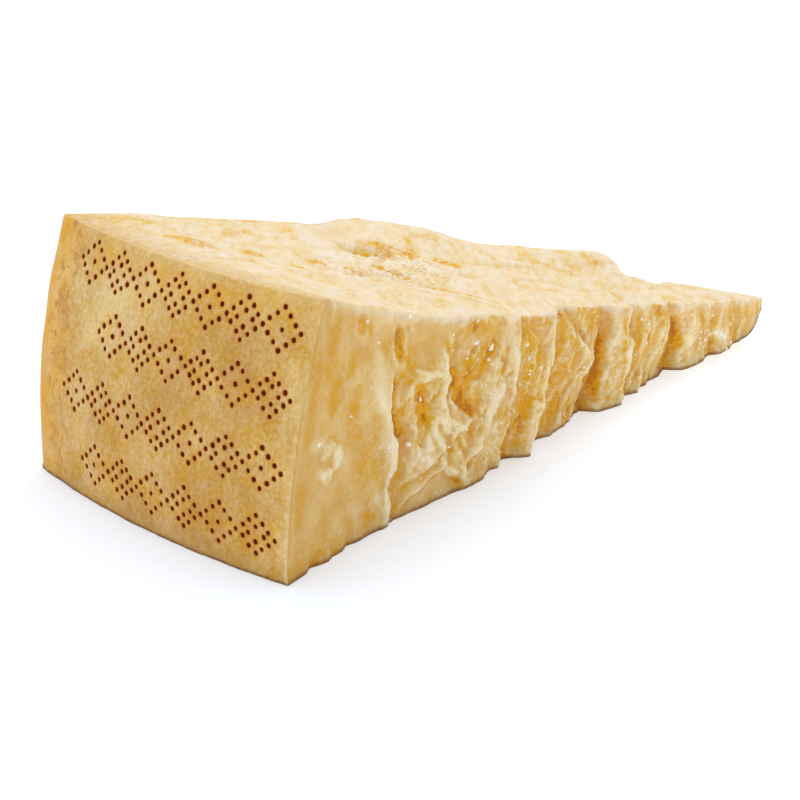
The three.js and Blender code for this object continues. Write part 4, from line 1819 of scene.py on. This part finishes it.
def set_number(mesh: bpy.types.Mesh, name: str, values: Array) -> None:
    """Stores a number for each vertex under a name that materials read."""
    layer = mesh.attributes.new(name, "FLOAT", "POINT")
    layer.data.foreach_set("value", values.astype(np.float32))


def get_number(mesh: bpy.types.Mesh, name: str) -> Array:
    """Reads a stored number of each vertex.

    Args:
        mesh: That carries it.
        name: Under which it is stored.

    Returns:
        One number for each vertex.
    """
    values = np.zeros(len(mesh.vertices), dtype=np.float32)
    mesh.attributes[name].data.foreach_get("value", values)
    return values


@dataclass(frozen=True)
class RindWearAndHighlight:
    """Where the rind is pale, golden or stained, by the distance from its edges; the pale band down
    the right corner is a painted highlight.
    """

    rim_width: float = 1.2
    rim_left: float = 0.7  # strength of the pale rim by the left side, and its gain
    rim_gain: float = 0.3
    rim_span: Pair = (15, 45)
    corner: float = 0.8  # strength of the painted highlight down the right corner, and its losses
    corner_fade_up: float = 0.35
    corner_fade_away: float = 0.26
    stain_start: Pair = (1.5, 4)
    stain_end: Pair = (9, 19)
    golden_end: Pair = (2, 16)
    golden_rim: float = 0.4
    golden_rim_start: Pair = (1, 3)
    golden_rim_end: Pair = (4, 8)

    def marks(self, grid: Array, drop: Array, width: float) -> dict[str, Array]:
        """Works the marks out.

        Args:
            grid: The vertices' (f, t, k).
            drop: How far they lie below the top edge.
            width: Of the rind.

        Returns:
            The strength of each mark, by its name.
        """
        f, t, k = grid.T
        to_left, to_right = (1.0 - t) * width, t * width
        pale_rim = self.rim_left + self.rim_gain * step(to_left, *self.rim_span)
        # the rubbed rim runs along the top edge; the pale band down the right corner is a painted
        # highlight
        away = self.corner_fade_away * to_right / self.rim_width
        rim = np.maximum(
            pale_rim - drop / self.rim_width, self.corner - self.corner_fade_up * k - away
        )
        under_rim = between(drop, self.golden_rim_start, self.golden_rim_end)
        golden = np.maximum(1.0 - step(to_left, *self.golden_end), self.golden_rim * under_rim)
        return {
            "left_edge": between(to_left, self.stain_start, self.stain_end),
            "golden": golden,
            "rim": np.clip(rim, 0.0, 1.0) * (f < TINY),
        }


@dataclass
class Cheese:
    """The wedge with its pricked rind, crystals and crumbs."""

    wedge: Wedge = field(default_factory=Wedge)
    ornament: PrickedOrnament = field(default_factory=PrickedOrnament)
    crystals: Crystals = field(default_factory=Crystals)
    crumbs: Crumbs = field(default_factory=Crumbs)
    paste: PasteFinish = PasteFinish()
    rind: RindFinish = RindFinish()
    sawn: SawnFinish = SawnFinish()
    wear_and_highlight: RindWearAndHighlight = RindWearAndHighlight()
    seed: int = 7
    sharp_angle: float = math.radians(70)
    thinning: float = 0.8  # how much lower the wedge is at its point
    farthest: float = 15  # distances are marked up to here
    deepest: float = 20

    def build(self) -> None:
        """Makes and dresses every piece."""
        dice = np.random.default_rng(self.seed)
        bm, grid = self.wedge.body()
        hollow = self.wedge.hollows(bm, grid)
        skin = Skin(self.wedge, BVHTree.FromBMesh(bm))
        paste, rind, sawn = (kind.material() for kind in (self.paste, self.rind, self.sawn))
        pegs = finished("pegs", self.ornament.pegs(skin, dice), [HOLE_SHADE.material(), rind])
        body = finished("wedge", bm, [paste, rind, sawn])
        for name, values in zip((*GRID, "hollow"), (*grid.T, hollow)):
            set_number(body.data, name, values)
        piece = self.prick(body, pegs)
        self.mark(piece.data)
        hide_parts(NODE)
        self.declare(piece)
        for name, kind, finish, rounded in (
            ("crystals", self.crystals, CRYSTAL, True), ("crumbs", self.crumbs, CRUMB, False),
        ):
            small = finished(name, kind.made(skin, dice), [finish.material()], rounded)
            self.declare(small)

    def mark(self, mesh: bpy.types.Mesh) -> None:
        """Stores what the finishes need to know about each vertex of the wedge.

        Args:
            mesh: Of the pricked wedge.
        """
        wedge = self.wedge
        places = np.array([v.co for v in mesh.vertices]) / MM
        grid = np.stack([get_number(mesh, name) for name in GRID], axis=1)
        pricked = np.abs(grid).max(axis=1) < TINY
        grid[pricked] = wedge.rind_grid(places[pricked])
        f, t, k = grid.T
        s = (places[:, 0] - wedge.axis.x - wedge.rind_foot_x) / wedge.side_cos
        y, h = places[:, 1] - wedge.axis.y, places[:, 2]
        arc = (1.0 - 2.0 * t) * wedge.half_angle * wedge.drum_radius
        streak = np.where(t < TINY, streaked(wedge.right.streaks, s, h), 0.0)
        streak = np.where(k > 1.0 - TINY, streaked(wedge.top_face.streaks, s, y), streak)
        drop = (1.0 - k) * wedge.rind_height * (1.0 - self.thinning * f)
        lift = curve(wedge.underside_lift, f * wedge.point_reach)
        marks = {
            "streak": np.where(f < TINY, streaked(wedge.rind_streaks, arc, h), streak),
            "calm": np.where(t < TINY, wedge.right.calmness(s, h), 0.0),
            "drop": np.clip(drop, 0.0, self.farthest),
            "foot": np.clip(h - lift, 0.0, self.farthest),
            "crust": np.clip(wedge.crust_depth(places), 0.0, self.deepest),
            "rise": k,
            **self.wear_and_highlight.marks(grid, drop, 2.0 * wedge.half_width),
        }
        for name, values in marks.items():
            set_number(mesh, name, values)

    def prick(self, body: bpy.types.Object, pegs: bpy.types.Object) -> bpy.types.Object:
        """Presses the pins into the rind.

        Args:
            body: The wedge.
            pegs: The pins, which are used up.

        Returns:
            A new object with the holes.
        """
        cut = body.modifiers.new("prick", "BOOLEAN")
        cut.operation = "DIFFERENCE"
        cut.solver = "MANIFOLD"
        cut.object = pegs
        cut.material_mode = "TRANSFER"
        bpy.context.view_layer.update()
        shaped = body.evaluated_get(bpy.context.evaluated_depsgraph_get())
        mesh = bpy.data.meshes.new_from_object(shaped)
        for used in (body, pegs):
            bpy.data.objects.remove(used)
        mesh.set_sharp_from_angle(angle=self.sharp_angle)
        return shown("cheese", mesh)

    def declare(self, piece: bpy.types.Object) -> None:
        """Tells the frame about a finished piece, and reports it.

        Args:
            piece: The finished object.
        """
        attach(piece, BODY)
        piece.data.calc_loop_triangles()
        log.info("%s: %d triangles", piece.name, len(piece.data.loop_triangles))


@dataclass(frozen=True)
class Lamp:
    """A square soft light: where it hangs, what it faces, its width and its watts."""

    name: str
    place: Triple
    aim: Triple
    size: float
    power: float


@dataclass
class Studio:
    """Pale floor, soft light and camera."""

    floor_half: float = 4
    floor_colour: Colour = (0.61, 0.67, 0.78)
    floor_surface: Surface = Surface(0.9)
    floor_glow: Pair = (0.38, 0.52)  # beside the rind and beside the point; the stronger glow by the point is painted light that pales the shadow there
    glow_span: Pair = (-0.03, 0.06)
    sky_strength: float = 0.8
    lamps: tuple[Lamp, ...] = (
        Lamp("key", (0.15, 0.2, 0.9), (0.0, 0.0, 0.02), 0.9, 4),
        Lamp("fill", (0.37, -0.25, 0.06), (0.09, -0.01, 0.02), 0.3, 0.08),
    )
    aim: Triple = (-63.46, -37.02, 30)
    distance: float = 480
    azimuth: float = -43.8
    elevation: float = 19.81
    roll: float = 1.55
    lens: float = 107.27
    sensor: float = 36
    nearest: float = 0.01

    def build(self) -> None:
        """Sets the studio up."""
        self.floor()
        self.light()
        self.camera()

    def floor(self) -> None:
        """Lays the floor, which glows a little so that shadows stay soft and pale."""
        bm = bmesh.new()
        bmesh.ops.create_grid(bm, x_segments=1, y_segments=1, size=self.floor_half / MM)
        sh = Shader("floor")
        sh.principled.inputs["Emission Color"].default_value = (1.0, 1.0, 1.0, 1.0)
        split = sh.add("ShaderNodeSeparateXYZ")
        sh.link(sh.place, split.inputs["Vector"])
        glow = sh.spread(split.outputs["X"], *self.glow_span, *self.floor_glow)
        sh.link(glow, sh.principled.inputs["Emission Strength"])
        material = sh.finish(self.floor_colour, self.floor_surface)
        floor = finished("floor", bm, [material], smooth=False)

    def light(self) -> None:
        """Adds the white surroundings and the lamps."""
        world = bpy.data.worlds.new("studio")
        world.use_nodes = True
        sky = world.node_tree.nodes["Background"]
        sky.inputs["Color"].default_value = (1.0, 1.0, 1.0, 1.0)
        sky.inputs["Strength"].default_value = self.sky_strength
        bpy.context.scene.world = world
        for kind in self.lamps:
            light = bpy.data.lights.new(kind.name, "AREA")
            light.size, light.energy = kind.size, kind.power
            lamp = shown(kind.name, light)
            lamp.location = kind.place
            aim = Vector(kind.aim) - lamp.location
            lamp.rotation_euler = aim.to_track_quat("-Z", "Y").to_euler()
        bpy.context.scene.view_settings.view_transform = "Standard"

    def camera(self) -> None:
        """Stands the camera at the wedge's rind corner, looking a little down."""
        lens = bpy.data.cameras.new("camera")
        lens.lens, lens.sensor_width, lens.clip_start = self.lens, self.sensor, self.nearest
        a, e = math.radians(self.azimuth), math.radians(self.elevation)
        back = Vector((math.sin(a) * math.cos(e), -math.cos(a) * math.cos(e), math.sin(e)))
        camera = shown("camera", lens)
        camera.location = (Vector(self.aim) + back * self.distance) * MM
        level = (-back).to_track_quat("-Z", "Y").to_matrix().to_4x4()
        roll = Matrix.Rotation(math.radians(self.roll), 4, "Z")
        camera.rotation_euler = (level @ roll).to_euler()
        bpy.context.scene.camera = camera


def main() -> None:
    """Builds the cheese and the studio."""
    logging.basicConfig(level=logging.INFO, format="%(name)s: %(message)s")
    Cheese().build()
    Studio().build()


if __name__ == "__main__":
    main()
